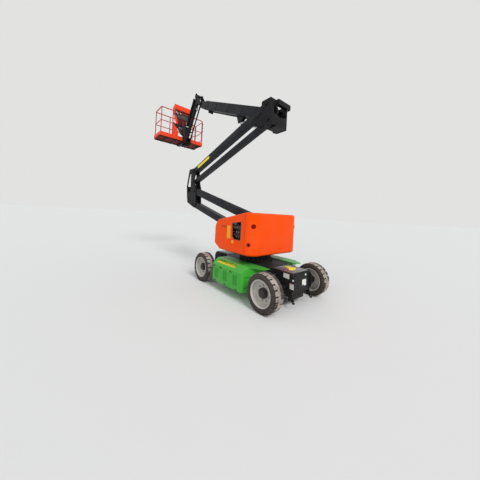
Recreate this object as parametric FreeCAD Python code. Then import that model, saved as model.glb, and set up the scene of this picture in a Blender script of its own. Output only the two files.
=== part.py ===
import FreeCAD, Part
import math
import os

# Articulating boom lift: a four-wheel chassis, a slewing turret, a twin
# parallelogram riser, a telescopic boom, a jib and a work platform.
# Lengths are millimetres. Machine axes: X forward to the platform, Y left, Z up,
# with x = 0 half way between the axles. place() moves them to the part's own
# origin, below the middle of the whole machine's length.

V = FreeCAD.Vector

# Running gear
TYRE_R = 355.0
TYRE_W = 240.0
RIM_R = 245.0
WHEELBASE = 2100.0
OVERALL_W = 1820.0
LUGS = 22
LUG_GAP = 34.0
LUG_DEPTH = 24.0
LUG_REACH = 88.0
HUB_R = 92.0
WHEEL_Y = (OVERALL_W - TYRE_W) / 2.0
AXLE_X = WHEELBASE / 2.0
AXLE_Z = TYRE_R
KINGPIN_IN = 190.0
KINGPIN_Y = WHEEL_Y - KINGPIN_IN
KINGPIN_R = 28.0
STEER_ARM = 170.0
STEER_PIN_R = 12.0
TIE_ROD_R = 18.0
TIE_EYE_H = 22.0

# Running clearances
PIN_CLEAR = 0.05
SLIDE_CLEAR = 0.3
SIDE_CLEAR = 6.0

# Chassis
CHASSIS_Z0 = 280.0
DECK_Z = 670.0
CHASSIS_HALF_W = 450.0
CHASSIS_END_HALF_W = 285.0
CHASSIS_END_X = 1275.0
CHASSIS_TAPER_X = 560.0
CHASSIS_NECK_X = 800.0
PLATE = 12.0
CHEEK_T = 16.0
CHEEK_OVER = 55.0
TIE_DOWN_R = 12.5
RING_R = 400.0
RING_TOP_Z = 845.0

# Side pods
POD_X = 520.0
POD_REAR_X = 700.0
POD_OUT_Y = 900.0
POD_IN_Y = CHASSIS_HALF_W
POD_Z0 = 200.0
POD_CREASE_Z = 565.0
POD_TOP_Z = 690.0
POD_TOP_Y = 745.0
POD_WALL = 6.0
POD_SIDE_WALL = 20.0
POD_RECESS_T = 22.0
POD_WING_X = 860.0
POD_TRAY_Z = 245.0
LOUVRE_ROWS = 9
LOUVRE_PITCH = 24.0

# Turret
TURRET_HALF_W = 757.0
TURRET_Z0 = 890.0
TURRET_TOP_Z = 1780.0
TURRET_REAR_X = -625.0
TURRET_NOSE_X = 770.0
SEAM_X = -400.0
COVER_T = 6.0
COVER_IN_Y = 300.0
SEAM_GAP = 8.0
DECK_T = 25.0
TURRET_EDGE_R = 48.0
WEIGHT_HOLES = [
    {"x": -572.0, "y": 675.0, "z": 1500.0, "out_x": -0.766, "out_y": 0.643, "radius": 42.0},
    {"x": -501.0, "y": 731.0, "z": 1121.0, "out_x": -0.46, "out_y": 0.888, "radius": 36.0},
]
WEIGHT_HOLE_DEPTH = 150.0
HINGE_X = 738.0
HINGE_Y = 332.0
HINGE_ZS = (1100.0, 1260.0)
HINGE_H = 45.0
HINGE_PIN_R = 9.0

# Riser
ARM_Y0 = 85.0
ARM_Y1 = 262.0
CHEEK_PLATE = 15.0
RISER_PIN_R = 28.0
BOSS_R = 62.0
PIN_HEAD = 8.0
LOWER_DEPTH = 185.0
UPPER_DEPTH = 155.0
UPPER_LINK_DEPTH = 118.0
ARM_WALL = 8.0
# pins as (x, z)
LOWER_ARM_LOW = (-270.0, 1585.0)
LOWER_SPAN = (3120.0, 859.0)
LOWER_LINK_OFFSET = (80.0, -423.0)
MID_RISE = (170.0, 695.0)
UPPER_SPAN = (-3370.0, 1063.0)
UPPER_LINK_OFFSET = (-60.0, -369.0)

# Upright and boom
BOOM_Y = -76.0
BOOM_W = 250.0
BOOM_DEPTH = 270.0
BOOM_SLOPE_DEG = 24.2
BOOM_PIVOT_OFFSET = (50.0, -130.0)
BOOM_PIN_R = 32.0
BOOM_TAIL = 120.0
BOOM_LENGTH = 3520.0
BOOM_WALL = 8.0
INNER_GAP = 12.0
INNER_TAIL = 500.0
INNER_STICK_OUT = 460.0
UPRIGHT_HALF_W = 283.0
UPRIGHT_BACK = 155.0
UPRIGHT_DROP = 467.0
UPRIGHT_RISE = 108.0
HOOD_OUT = 80.0
HOOD_Y = (-290.0, 110.0)
HOOD_DROP = 130.0

# Jib
JIB_W = 252.0
TIP_PIN_BACK = 2.2
TIP_PIN_UP = 1.8
JIB_RISE = (352.0, 465.0)
JIB_LINK_OFFSET = (-60.0, -180.0)
JIB_SPAN = (850.0, -1380.0)
JIB_PIN_R = 20.0
JIB_BOSS_R = 38.0
JIB_PIN_HEAD = 6.0
JIB_BAR = 84.0
LINK_STRAP_T = 28.0
LINK_STRAP_W = 60.0

# Platform
PLATFORM_AHEAD = 157.0
PLATFORM_D = 731.0
PLATFORM_HALF_W = 925.0
FLOOR_UP = 189.0
RAIL_H = 1135.0
MID_RAIL_H = 601.0
RAIL_R = 19.0
POST_R = 17.0
MID_RAIL_R = 15.0
RAIL_BEND_R = 90.0
RAIL_CORNER_R = 40.0
TOE_H = 150.0
FLOOR_T = 30.0
SHEET = 4.0
ROTATOR_R = 55.0
HEAD_AHEAD = 110.0
ROTATOR_DOWN = 240.0
ROTATOR_UP = 60.0
GATE_PIN_R = 12.0

CYL_WALL = 8.0
PISTON_T = 20.0
EYE_W = 60.0
EAR_T = 15.0
EAR_CAP_R = 24.0


def place(shape):
    """The shape in the part's own frame, its origin under the middle of the length."""
    moved = shape.copy()
    moved.translate(V(-ORIGIN_X, 0, 0))
    return moved


def box(x0, x1, y0, y1, z0, z1):
    return Part.makeBox(x1 - x0, y1 - y0, z1 - z0, V(x0, y0, z0))


def cyl_x(y, z, x0, x1, r):
    return Part.makeCylinder(r, x1 - x0, V(x0, y, z), V(1, 0, 0))


def cyl_y(x, z, y0, y1, r):
    return Part.makeCylinder(r, y1 - y0, V(x, y0, z), V(0, 1, 0))


def cyl_z(x, y, z0, z1, r):
    return Part.makeCylinder(r, z1 - z0, V(x, y, z0), V(0, 0, 1))


def rod(p, q, r):
    a, b = V(*p), V(*q)
    return Part.makeCylinder(r, (b - a).Length, a, b - a)


def fuse(shapes):
    body = shapes[0]
    if len(shapes) > 1:
        body = body.multiFuse(list(shapes[1:]))
    return body.removeSplitter()


def cut(body, tools):
    return body.cut(list(tools)) if tools else body


def rounded(points):
    """A closed face in plan from corners (u, v, radius), each rounded by an arc."""
    edges, ends = [], []
    count = len(points)
    for i, (u, v, radius) in enumerate(points):
        here = V(u, v, 0)
        if radius <= 0:
            ends.append((here, None, here))
            continue
        back = V(points[i - 1][0], points[i - 1][1], 0) - here
        ahead = V(points[(i + 1) % count][0], points[(i + 1) % count][1], 0) - here
        back.normalize()
        ahead.normalize()
        half = back.getAngle(ahead) / 2.0
        run = radius / math.tan(half)
        bisector = back + ahead
        bisector.normalize()
        centre = here + bisector * (radius / math.sin(half))
        ends.append((here + back * run, centre - bisector * radius, here + ahead * run))
    for i, (start, middle, end) in enumerate(ends):
        if middle is not None:
            edges.append(Part.Arc(start, middle, end).toShape())
        edges.append(Part.makeLine(end, ends[(i + 1) % count][0]))
    return Part.Face(Part.Wire(edges))


def side_plate(points, y0, y1):
    """An outline in x and z, (x, z, radius) a corner, as thick as y0 to y1."""
    face = rounded(points)
    solid = face.extrude(V(0, 0, y1 - y0))
    solid.rotate(V(0, 0, 0), V(1, 0, 0), 90)
    solid.translate(V(0, y1, 0))
    return solid


def flat_plate(points, z0, z1):
    """An outline in x and y, (x, y, radius) a corner, as thick as z0 to z1."""
    solid = rounded(points).extrude(V(0, 0, z1 - z0))
    solid.translate(V(0, 0, z0))
    return solid


def add(p, q):
    return (p[0] + q[0], p[1] + q[1])


def along(p, q, distance, aside=0.0):
    """A point at a distance from p towards q, and aside to the left of that way."""
    length = math.hypot(q[0] - p[0], q[1] - p[1])
    ux, uz = (q[0] - p[0]) / length, (q[1] - p[1]) / length
    return (p[0] + ux * distance - uz * aside, p[1] + uz * distance + ux * aside)


def span_length(p, q):
    return math.hypot(q[0] - p[0], q[1] - p[1])


def bar(p, q, start, end, low, high, y0, y1):
    """A straight bar in the x-z plane along p to q, between two distances."""
    corners = [along(p, q, start, low), along(p, q, end, low),
               along(p, q, end, high), along(p, q, start, high)]
    return side_plate([(x, z, 0) for x, z in corners], y0, y1)


def tube(p, q, start, end, depth, y0, y1, wall):
    """An open-ended rectangular tube centred on the line from p to q."""
    outer = bar(p, q, start, end, -depth / 2.0, depth / 2.0, y0, y1)
    inner = bar(p, q, start - 1.0, end + 1.0, wall - depth / 2.0, depth / 2.0 - wall,
                y0 + wall, y1 - wall)
    return outer.cut(inner)


def pinned_tube(p, q, depth, y0, y1, wall, boss_r, pin_r):
    """A tube with a cross boss and a bore at each pin."""
    length = span_length(p, q)
    body = tube(p, q, 0.0, length, depth, y0, y1, wall)
    body = fuse([body] + [cyl_y(x, z, y0, y1, boss_r) for x, z in (p, q)])
    return cut(body, [cyl_y(x, z, y0 - 1, y1 + 1, pin_r + PIN_CLEAR) for x, z in (p, q)])


# Pins that follow from the driving ones, up the machine from the turret to the platform
LOWER_ARM_TOP = add(LOWER_ARM_LOW, LOWER_SPAN)
LOWER_LINK_TOP = add(LOWER_ARM_TOP, LOWER_LINK_OFFSET)
LOWER_LINK_LOW = add(LOWER_ARM_LOW, LOWER_LINK_OFFSET)
UPPER_ARM_LOW = add(LOWER_ARM_TOP, MID_RISE)
UPPER_ARM_TOP = add(UPPER_ARM_LOW, UPPER_SPAN)
UPPER_LINK_LOW = add(UPPER_ARM_LOW, UPPER_LINK_OFFSET)
UPPER_LINK_TOP = add(UPPER_ARM_TOP, UPPER_LINK_OFFSET)
BOOM_PIVOT = add(UPPER_ARM_TOP, BOOM_PIVOT_OFFSET)
BOOM_AHEAD = (BOOM_PIVOT[0] + math.cos(math.radians(BOOM_SLOPE_DEG)),
              BOOM_PIVOT[1] + math.sin(math.radians(BOOM_SLOPE_DEG)))
OUTER_END = BOOM_LENGTH - BOOM_TAIL
INNER_TIP = OUTER_END + INNER_STICK_OUT
JIB_TIP_PIN = along(BOOM_PIVOT, BOOM_AHEAD, INNER_TIP - TIP_PIN_BACK, TIP_PIN_UP)
JIB_ARM_TOP = add(JIB_TIP_PIN, JIB_RISE)
JIB_LINK_TOP = add(JIB_ARM_TOP, JIB_LINK_OFFSET)
JIB_ARM_END = add(JIB_ARM_TOP, JIB_SPAN)
JIB_LINK_END = add(JIB_LINK_TOP, JIB_SPAN)
HEAD_AXIS_X = JIB_ARM_END[0] + HEAD_AHEAD
ROTATOR_Z0 = JIB_ARM_END[1] - ROTATOR_DOWN
ROTATOR_Z1 = JIB_ARM_END[1] + ROTATOR_UP
PLATFORM_X0 = HEAD_AXIS_X + PLATFORM_AHEAD
FLOOR_Z = ROTATOR_Z0 + FLOOR_UP
RAIL_TOP_Z = FLOOR_Z + RAIL_H
MID_RAIL_Z = FLOOR_Z + MID_RAIL_H
ORIGIN_X = (PLATFORM_X0 + PLATFORM_D - AXLE_X - TYRE_R) / 2.0

# Cylinders in x and z: base pin, rod eye, radii, where the barrel ends along the
# way from base to eye, how long its gland is and where the piston starts
RISER_CYL = {"base": add(LOWER_ARM_TOP, (380.0, -244.0)), "eye": add(UPPER_ARM_LOW, (200.0, 30.0)),
             "barrel_r": 52.0, "rod_r": 28.0, "base_r": 46.0, "pin_r": 22.0, "eye_r": 40.0,
             "barrel_end": 700.0, "gland": 50.0, "piston": 280.0}
BOOM_CYL = {"base": add(BOOM_PIVOT, (150.0, -222.0)), "eye": add(BOOM_PIVOT, (1260.0, 258.0)),
            "barrel_r": 50.0, "rod_r": 26.0, "base_r": 46.0, "pin_r": 22.0, "eye_r": 40.0,
            "barrel_end": 930.0, "gland": 50.0, "piston": 210.0}
JIB_CYL = {"base": add(JIB_ARM_TOP, (-59.0, -116.0)), "eye": add(JIB_ARM_TOP, (141.0, -442.0)),
           "barrel_r": 28.0, "rod_r": 16.0, "base_r": 26.0, "pin_r": 14.0, "eye_r": 28.0,
           "barrel_end": 320.0, "gland": 30.0, "piston": 62.0}
ARM_MID_Y = (ARM_Y0 + ARM_Y1) / 2.0
CHEEK_LEFT = (ARM_Y1 + SIDE_CLEAR, ARM_Y1 + SIDE_CLEAR + CHEEK_PLATE)
CHEEK_RIGHT = (ARM_Y0 - SIDE_CLEAR - CHEEK_PLATE, ARM_Y0 - SIDE_CLEAR)

NODES = {}


# Wheels

def tyre_solid():
    """A solid industrial tyre, its axis along Y, with staggered shoulder lugs."""
    half = TYRE_W / 2.0
    profile = [(RIM_R - 12, -half + 22, 0), (RIM_R + 4, -half + 10, 0), (RIM_R + 45, -half, 0),
               (TYRE_R - 40, -half + 4, 0), (TYRE_R, -half + 26, 0), (TYRE_R, half - 26, 0),
               (TYRE_R - 40, half - 4, 0), (RIM_R + 45, half, 0), (RIM_R + 4, half - 10, 0),
               (RIM_R - 12, half - 22, 0)]
    body = rounded(profile).revolve(V(0, 0, 0), V(0, 1, 0), 360)
    cutters = []
    for side, shift in ((1, 0.0), (-1, 0.5)):
        for i in range(LUGS):
            groove = box(TYRE_R - LUG_DEPTH, TYRE_R + 5, half - LUG_REACH, half + 5,
                         -LUG_GAP / 2.0, LUG_GAP / 2.0)
            if side < 0:
                groove = groove.mirror(V(0, 0, 0), V(0, 1, 0))
            groove.rotate(V(0, 0, 0), V(0, 1, 0), 360.0 * (i + shift) / LUGS)
            cutters.append(groove)
    return body.cut(cutters)


def rim_solid():
    """A dished disc wheel, its outer face towards +Y."""
    half = TYRE_W / 2.0
    disc_y = 10.0
    bead = RIM_R - 12.3
    barrel = bead - 12.0
    profile = [(bead, -half + 21.5, 0), (RIM_R + 2, -half + 9, 0), (RIM_R - 10, -half + 4, 0),
               (barrel, -half + 24, 0), (barrel, disc_y - 12, 0), (HUB_R - 20, disc_y - 24, 0),
               (HUB_R - 20, disc_y - 8, 0), (barrel - 28, disc_y + 4, 0), (barrel, disc_y + 30, 0),
               (barrel, half - 24, 0), (RIM_R - 10, half - 4, 0), (RIM_R + 2, half - 9, 0),
               (bead, half - 21.5, 0)]
    return rounded(profile).revolve(V(0, 0, 0), V(0, 1, 0), 360)


def hub_solid():
    """The wheel hub and its stepped cap, through the disc's centre."""
    disc_y = 10.0
    rings = [(HUB_R - 20.3, -34, 40), (HUB_R, disc_y - 5.5, 58), (HUB_R - 18, 58, 76)]
    return fuse([cyl_y(0, 0, y0, y1, r) for r, y0, y1 in rings])


tyre = tyre_solid()
rim = rim_solid()
hub = hub_solid()
WHEELS = {"front_left": (1, 1), "front_right": (1, -1), "rear_left": (-1, 1), "rear_right": (-1, -1)}
for name, (fore, left) in WHEELS.items():
    for kind, solid in (("tyre", tyre), ("rim", rim), ("hub", hub)):
        shape = solid.copy()
        if left < 0:
            shape.rotate(V(0, 0, 0), V(0, 0, 1), 180)
        shape.translate(V(fore * AXLE_X, left * WHEEL_Y, AXLE_Z))
        NODES[kind + "_" + name] = shape


# Axles and steering

HUB_BACK_Y = WHEEL_Y - 34.0

rear_beam = [box(-AXLE_X - 70, -AXLE_X + 70, -CHASSIS_END_HALF_W - 170, CHASSIS_END_HALF_W + 170,
                 AXLE_Z - 60, AXLE_Z + 60)]
for left in (1, -1):
    y0, y1 = sorted((left * (CHASSIS_END_HALF_W + 160), left * (HUB_BACK_Y - SLIDE_CLEAR)))
    rear_beam.append(cyl_y(-AXLE_X, AXLE_Z, y0, y1, 78))
rear_core = box(-AXLE_X - 55, -AXLE_X + 55, -CHASSIS_END_HALF_W - 150, CHASSIS_END_HALF_W + 150,
                AXLE_Z - 45, AXLE_Z + 45)
NODES["rear_axle"] = fuse(rear_beam).cut(rear_core)

front_parts = [box(AXLE_X - 60, AXLE_X + 60, -KINGPIN_Y + 70, KINGPIN_Y - 70, AXLE_Z - 30, AXLE_Z + 50)]
front_core = [box(AXLE_X - 48, AXLE_X + 48, -KINGPIN_Y + 90, KINGPIN_Y - 90, AXLE_Z - 18, AXLE_Z + 38)]
for left in (1, -1):
    y = left * KINGPIN_Y
    for z0, z1 in ((AXLE_Z - 100, AXLE_Z - 72), (AXLE_Z + 72, AXLE_Z + 100)):
        y0, y1 = sorted((y, y - left * 110))
        front_parts.append(box(AXLE_X - 45, AXLE_X + 45, y0, y1, z0, z1))
        front_parts.append(cyl_z(AXLE_X, y, z0, z1, 45))
    y0, y1 = sorted((y - left * 70, y - left * 110))
    front_parts.append(box(AXLE_X - 45, AXLE_X + 45, y0, y1, AXLE_Z - 100, AXLE_Z + 100))
    front_parts.append(cyl_z(AXLE_X, y, AXLE_Z - 112, AXLE_Z + 112, KINGPIN_R))
NODES["front_axle"] = fuse(front_parts).cut(front_core)

for name, left in (("left", 1), ("right", -1)):
    y = left * KINGPIN_Y
    parts = [cyl_z(AXLE_X, y, AXLE_Z - 66, AXLE_Z + 66, 55)]
    y0, y1 = sorted((y, left * (HUB_BACK_Y - SLIDE_CLEAR)))
    parts.append(cyl_y(AXLE_X, AXLE_Z, y0, y1, 60))
    arm_x0, arm_x1 = AXLE_X - STEER_ARM, AXLE_X - 20
    y0, y1 = sorted((y - 26, y + 26))
    parts.append(box(arm_x0, arm_x1, y0, y1, AXLE_Z - 66, AXLE_Z - 38))
    parts.append(cyl_z(arm_x0, y, AXLE_Z - 66, AXLE_Z - 38, 26))
    bores = [cyl_z(AXLE_X, y, AXLE_Z - 70, AXLE_Z + 70, KINGPIN_R + PIN_CLEAR),
             cyl_z(arm_x0, y, AXLE_Z - 70, AXLE_Z - 30, STEER_PIN_R + PIN_CLEAR)]
    NODES["knuckle_" + name] = fuse(parts).cut(bores)

tie_x = AXLE_X - STEER_ARM
tie_z = AXLE_Z - 115.0
tie = [cyl_y(tie_x, tie_z, -KINGPIN_Y, KINGPIN_Y, TIE_ROD_R)]
for left in (1, -1):
    tie.append(cyl_z(tie_x, left * KINGPIN_Y, tie_z - TIE_EYE_H, tie_z + TIE_EYE_H, 24))
    tie.append(cyl_z(tie_x, left * KINGPIN_Y, tie_z, AXLE_Z - 36, STEER_PIN_R))
NODES["tie_rod"] = fuse(tie)


# Chassis frame

def plan(scale_in=0.0):
    """The frame's outline in plan, inset by a plate's thickness."""
    w, e = CHASSIS_HALF_W - scale_in, CHASSIS_END_HALF_W - scale_in
    end = CHASSIS_END_X - scale_in
    quarter = [(end, e), (CHASSIS_NECK_X, e), (CHASSIS_TAPER_X, w)]
    half = quarter + [(-x, y) for x, y in reversed(quarter)]
    return [(x, y, 0) for x, y in half + [(x, -y) for x, y in reversed(half)]]


frame = flat_plate(plan(), CHASSIS_Z0, DECK_Z)
frame_core = flat_plate(plan(PLATE), CHASSIS_Z0 + PLATE, DECK_Z - PLATE)
cheek_outline = [(CHASSIS_END_X - 260, CHASSIS_Z0 - 20, 0), (CHASSIS_END_X - 10, CHASSIS_Z0 - 20, 0),
                 (CHASSIS_END_X + CHEEK_OVER, CHASSIS_Z0 + 120, 60),
                 (CHASSIS_END_X + CHEEK_OVER, DECK_Z, 130), (CHASSIS_END_X - 260, DECK_Z, 0)]
parts = [frame.cut(frame_core)]
for fore in (1, -1):
    for left in (1, -1):
        outline = [(fore * x, z, r) for x, z, r in cheek_outline]
        y0, y1 = sorted((left * CHASSIS_END_HALF_W, left * (CHASSIS_END_HALF_W + CHEEK_T)))
        parts.append(side_plate(outline, y0, y1))
        lug = [(CHASSIS_END_X - 110, CHASSIS_Z0 - 10, 0), (CHASSIS_END_X + 40, 120, 22),
               (CHASSIS_END_X + 88, 130, 22), (CHASSIS_END_X - 5, CHASSIS_Z0 + 30, 0)]
        lug_outline = [(fore * x, z, r) for x, z, r in lug]
        plate = side_plate(lug_outline, y0, y1)
        parts.append(plate)
frame = fuse(parts)
tie_down = (CHASSIS_END_X + 43.0, 158.0)
bores = []
for fore in (1, -1):
    bores.append(cyl_y(fore * tie_down[0], tie_down[1], -400, 400, TIE_DOWN_R))
frame = frame.cut(bores)
axle_slots = [box(-AXLE_X - 70.2, -AXLE_X + 70.2, -500, 500, AXLE_Z - 60.2, AXLE_Z + 60.2),
              box(AXLE_X - 60.2, AXLE_X + 60.2, -KINGPIN_Y, KINGPIN_Y, AXLE_Z - 30.2, AXLE_Z + 50.2)]
NODES["chassis_frame"] = frame.cut(axle_slots)
ring = [cyl_z(0, 0, DECK_Z, DECK_Z + 60, RING_R), cyl_z(0, 0, DECK_Z + 60, RING_TOP_Z, RING_R - 40)]
NODES["slew_ring"] = fuse(ring).cut(cyl_z(0, 0, DECK_Z - 1, RING_TOP_Z + 1, RING_R - 110))


# Side pods and batteries

def pod(left):
    """One battery pod: a prism with a chamfered top and a slanted rear end."""
    outline = [(POD_IN_Y, POD_Z0, 0), (POD_OUT_Y, POD_Z0, 0), (POD_OUT_Y, POD_CREASE_Z, 0),
               (POD_TOP_Y, POD_TOP_Z, 0), (POD_IN_Y, POD_TOP_Z, 0)]
    wire = [V(0, y, z) for y, z, r in outline]
    shell = Part.Face(Part.makePolygon(wire + wire[:1])).extrude(V(POD_REAR_X + POD_X, 0, 0))
    shell.translate(V(-POD_REAR_X, 0, 0))
    slant = [(-POD_REAR_X - 1, POD_OUT_Y + 1, 0), (-POD_REAR_X - 1, POD_IN_Y + 60, 0),
             (-POD_X, POD_OUT_Y + 1, 0)]
    corner = flat_plate(slant, POD_Z0 - 1, POD_TOP_Z + 1)
    shell = shell.cut(corner)
    front = [(POD_X + 1, POD_OUT_Y - 40, 0), (POD_X - 40, POD_OUT_Y + 1, 0), (POD_X + 1, POD_OUT_Y + 1, 0)]
    shell = shell.cut(flat_plate(front, POD_Z0 - 1, POD_TOP_Z + 1))
    inner = [(POD_IN_Y + POD_WALL, POD_Z0 + POD_WALL), (POD_OUT_Y - POD_SIDE_WALL, POD_Z0 + POD_WALL),
             (POD_OUT_Y - POD_SIDE_WALL, POD_CREASE_Z - POD_WALL),
             (POD_TOP_Y - POD_WALL, POD_TOP_Z - POD_WALL),
             (POD_IN_Y + POD_WALL, POD_TOP_Z - POD_WALL)]
    wire = [V(0, y, z) for y, z in inner]
    cavity = Part.Face(Part.makePolygon(wire + wire[:1])).extrude(V(2 * POD_X - 100, 0, 0))
    cavity.translate(V(50 - POD_X, 0, 0))
    shell = shell.cut(cavity)
    slots = []
    for group_x in (-330.0, 10.0, 330.0):
        for column in (-38.0, 38.0):
            for i in range(LOUVRE_ROWS):
                z = POD_Z0 + 95 + i * LOUVRE_PITCH
                x0, x1 = group_x + column - 28, group_x + column + 28
                slots.append(box(x0, x1, POD_OUT_Y - 14, POD_OUT_Y + 2, z, z + 9))
    shell = shell.cut(slots)
    start, way = V(-POD_REAR_X, POD_IN_Y + 60, 0), V(POD_REAR_X - POD_X, POD_OUT_Y - POD_IN_Y - 60, 0)
    way.normalize()
    into = V(way.y, -way.x, 0)
    corners = [start + way * run + into * deep for run, deep in
               ((60, -2), (365, -2), (365, POD_RECESS_T), (60, POD_RECESS_T))]
    shell = shell.cut(flat_plate([(c.x, c.y, 0) for c in corners], POD_Z0 + 75, POD_CREASE_Z - 60))
    wing = [(-POD_X - 80, POD_IN_Y, 0), (-POD_X - 80, POD_TOP_Y, 0), (-POD_REAR_X, POD_TOP_Y - 70, 30),
            (-POD_WING_X, POD_IN_Y + 160, 40), (-POD_WING_X, POD_IN_Y, 0)]
    tray = box(-POD_REAR_X - 45, -POD_REAR_X + 20, POD_IN_Y + 20, POD_IN_Y + 190, POD_Z0, POD_TRAY_Z)
    tray_core = box(-POD_REAR_X - 45 + SHEET, -POD_REAR_X + 30, POD_IN_Y + 20 + SHEET, POD_IN_Y + 190 - SHEET,
                    POD_Z0 + SHEET, POD_TRAY_Z + 1)
    shell = fuse([shell, flat_plate(wing, POD_TOP_Z - 10, POD_TOP_Z), tray.cut(tray_core)])
    if left < 0:
        shell = shell.mirror(V(0, 0, 0), V(0, 1, 0))
    return shell


NODES["side_pod_left"] = pod(1)
NODES["side_pod_right"] = pod(-1)
packs = []
for left in (1, -1):
    y0, y1 = sorted((left * (POD_IN_Y + POD_WALL + 10), left * (POD_TOP_Y - 40)))
    packs.append(box(-POD_X + 80, POD_X - 80, y0, y1, POD_Z0 + POD_WALL, POD_TOP_Z - 120))
NODES["battery_packs"] = Part.makeCompound(packs)


# Turret

def turret_plan(inset=0.0):
    """The turret's outline in plan, with rounded rear corners and nose."""
    w = TURRET_HALF_W - inset
    return [(TURRET_NOSE_X - inset, -w, 120), (TURRET_NOSE_X - inset, w, 120),
            (TURRET_REAR_X + inset, w, 230), (TURRET_REAR_X + inset, -w, 230)]


def turret_profile(inset=0.0):
    """The turret's outline in x and z: flat rear, sloping top, rounded nose."""
    nose = TURRET_NOSE_X - inset
    return [(TURRET_REAR_X - 50, TURRET_Z0 + inset, 0), (TURRET_NOSE_X - 270, TURRET_Z0 + inset, 60),
            (nose, TURRET_Z0 + 150, 0), (nose, TURRET_TOP_Z - 400, 0),
            (TURRET_NOSE_X - 160, TURRET_TOP_Z - 190 - inset, 90),
            (TURRET_REAR_X + 235, TURRET_TOP_Z - inset, 200),
            (TURRET_REAR_X - 50, TURRET_TOP_Z - inset, 0)]


def sharp_edges(body):
    """The edges where two faces of a body meet at an angle."""
    sides = {}
    for face in body.Faces:
        for edge in face.Edges:
            middle = edge.valueAt((edge.FirstParameter + edge.LastParameter) / 2.0)
            normal = face.normalAt(*face.Surface.parameter(middle))
            sides.setdefault(edge.hashCode(), (edge, []))[1].append(normal)
    pairs = [(edge, normals) for edge, normals in sides.values() if len(normals) == 2]
    return [edge for edge, normals in pairs if abs(normals[0].dot(normals[1])) < 0.9]


def turret_form(inset=0.0):
    """The closed form that the counterweight and the covers are cut from."""
    upright = flat_plate(turret_plan(inset), TURRET_Z0 - 50, TURRET_TOP_Z + 50)
    body = side_plate(turret_profile(inset), -900, 900).common(upright)
    return body.makeFillet(TURRET_EDGE_R - inset, sharp_edges(body))


form = turret_form()
hollow = turret_form(COVER_T)
weight_front_x = SEAM_X - SEAM_GAP / 2.0
weight = form.common(box(TURRET_REAR_X - 60, weight_front_x, -900, 900, TURRET_Z0, TURRET_TOP_Z))
holes = []
for left in (1, -1):
    for hole in WEIGHT_HOLES:
        out = V(hole["out_x"], left * hole["out_y"], 0)
        mouth = V(hole["x"], left * hole["y"], hole["z"]) + out * 30.0
        holes.append(Part.makeCylinder(hole["radius"], WEIGHT_HOLE_DEPTH, mouth, out * -1.0))
NODES["counterweight"] = weight.cut(holes)

cover_box = box(SEAM_X + SEAM_GAP / 2.0, TURRET_NOSE_X + 10, COVER_IN_Y, 900, TURRET_Z0, TURRET_TOP_Z + 20)
cover_shell = form.cut(hollow).common(cover_box)
open_floor = box(SEAM_X, TURRET_NOSE_X - 320, COVER_IN_Y - 1, TURRET_HALF_W - TURRET_EDGE_R - 5,
                 TURRET_Z0 - 1, TURRET_Z0 + COVER_T + 1)
post_notch = cyl_z(HINGE_X, HINGE_Y, TURRET_Z0 - 10, HINGE_ZS[0] - 12.0, 76.0)
cover_shell = cover_shell.cut([open_floor, post_notch])
window = side_plate([(-270, 1190, 12), (-60, 1190, 12), (0, 1240, 12), (25, 1530, 12), (-270, 1570, 12)],
                    TURRET_HALF_W - 30, TURRET_HALF_W + 30)
cover_shell = cover_shell.cut(window)
panel = side_plate([(225, 1150, 10), (520, 1150, 10), (435, 1480, 10), (225, 1500, 10)],
                   TURRET_HALF_W - 2.5, TURRET_HALF_W + 30)
cover_shell = cover_shell.cut(panel)
knuckles = [cyl_z(HINGE_X, HINGE_Y, z + 0.3, z + HINGE_H, HINGE_PIN_R + 8) for z in HINGE_ZS]
webs = [box(HINGE_X, TURRET_NOSE_X - COVER_T + 1, HINGE_Y - 4, HINGE_Y + 4, z + 0.3, z + HINGE_H)
        for z in HINGE_ZS]
cover_shell = fuse([cover_shell] + knuckles + webs)
cover_shell = cover_shell.cut([cyl_z(HINGE_X, HINGE_Y, z - 1, z + HINGE_H + 1, HINGE_PIN_R + PIN_CLEAR)
                               for z in HINGE_ZS])
NODES["cover_left"] = cover_shell
NODES["cover_right"] = cover_shell.mirror(V(0, 0, 0), V(0, 1, 0))

base = flat_plate([(TURRET_NOSE_X - 90, -500, 80), (TURRET_NOSE_X - 90, 500, 80), (300, 640, 60),
                   (-380, 640, 0), (-380, -640, 0), (300, -640, 60)], TURRET_Z0 - DECK_T - 5, TURRET_Z0 - 5)
parts = [base, cyl_z(0, 0, RING_TOP_Z + SLIDE_CLEAR, TURRET_Z0 - DECK_T, RING_R - 60),
         box(weight_front_x + SLIDE_CLEAR, weight_front_x + 12, -560, 560, TURRET_Z0 - 30,
             LOWER_ARM_LOW[1] - 85),
         box(weight_front_x + SLIDE_CLEAR, -370, -560, 560, TURRET_Z0 - DECK_T - 5, TURRET_Z0 - 5)]
low_x, low_z = LOWER_ARM_LOW
tower = [(weight_front_x + 8, TURRET_Z0 - 10, 0), (low_x + 530, TURRET_Z0 - 10, 0),
         (low_x + 290, low_z - 325, 60),
         (low_x + 90, low_z + 85, 60), (weight_front_x + 8, low_z + 85, 40)]
for y0, y1 in (CHEEK_LEFT, CHEEK_RIGHT):
    parts.append(side_plate(tower, y0, y1))
for x, z in (LOWER_ARM_LOW, LOWER_LINK_LOW):
    parts.append(cyl_y(x, z, CHEEK_RIGHT[0], CHEEK_LEFT[1] + PIN_HEAD, RISER_PIN_R))
for left in (1, -1):
    y0, y1 = sorted((left * (HINGE_Y - 12), left * (HINGE_Y + 12)))
    parts.append(box(HINGE_X - 60, HINGE_X - 30, y0, y1, TURRET_Z0 - 10, HINGE_ZS[1] + 10))
    for z in HINGE_ZS:
        parts.append(box(HINGE_X - 40, HINGE_X + 8, y0, y1, z - 12, z))
        parts.append(cyl_z(HINGE_X, left * HINGE_Y, z - 2, z + HINGE_H, HINGE_PIN_R))
NODES["turntable_frame"] = fuse(parts)
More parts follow.
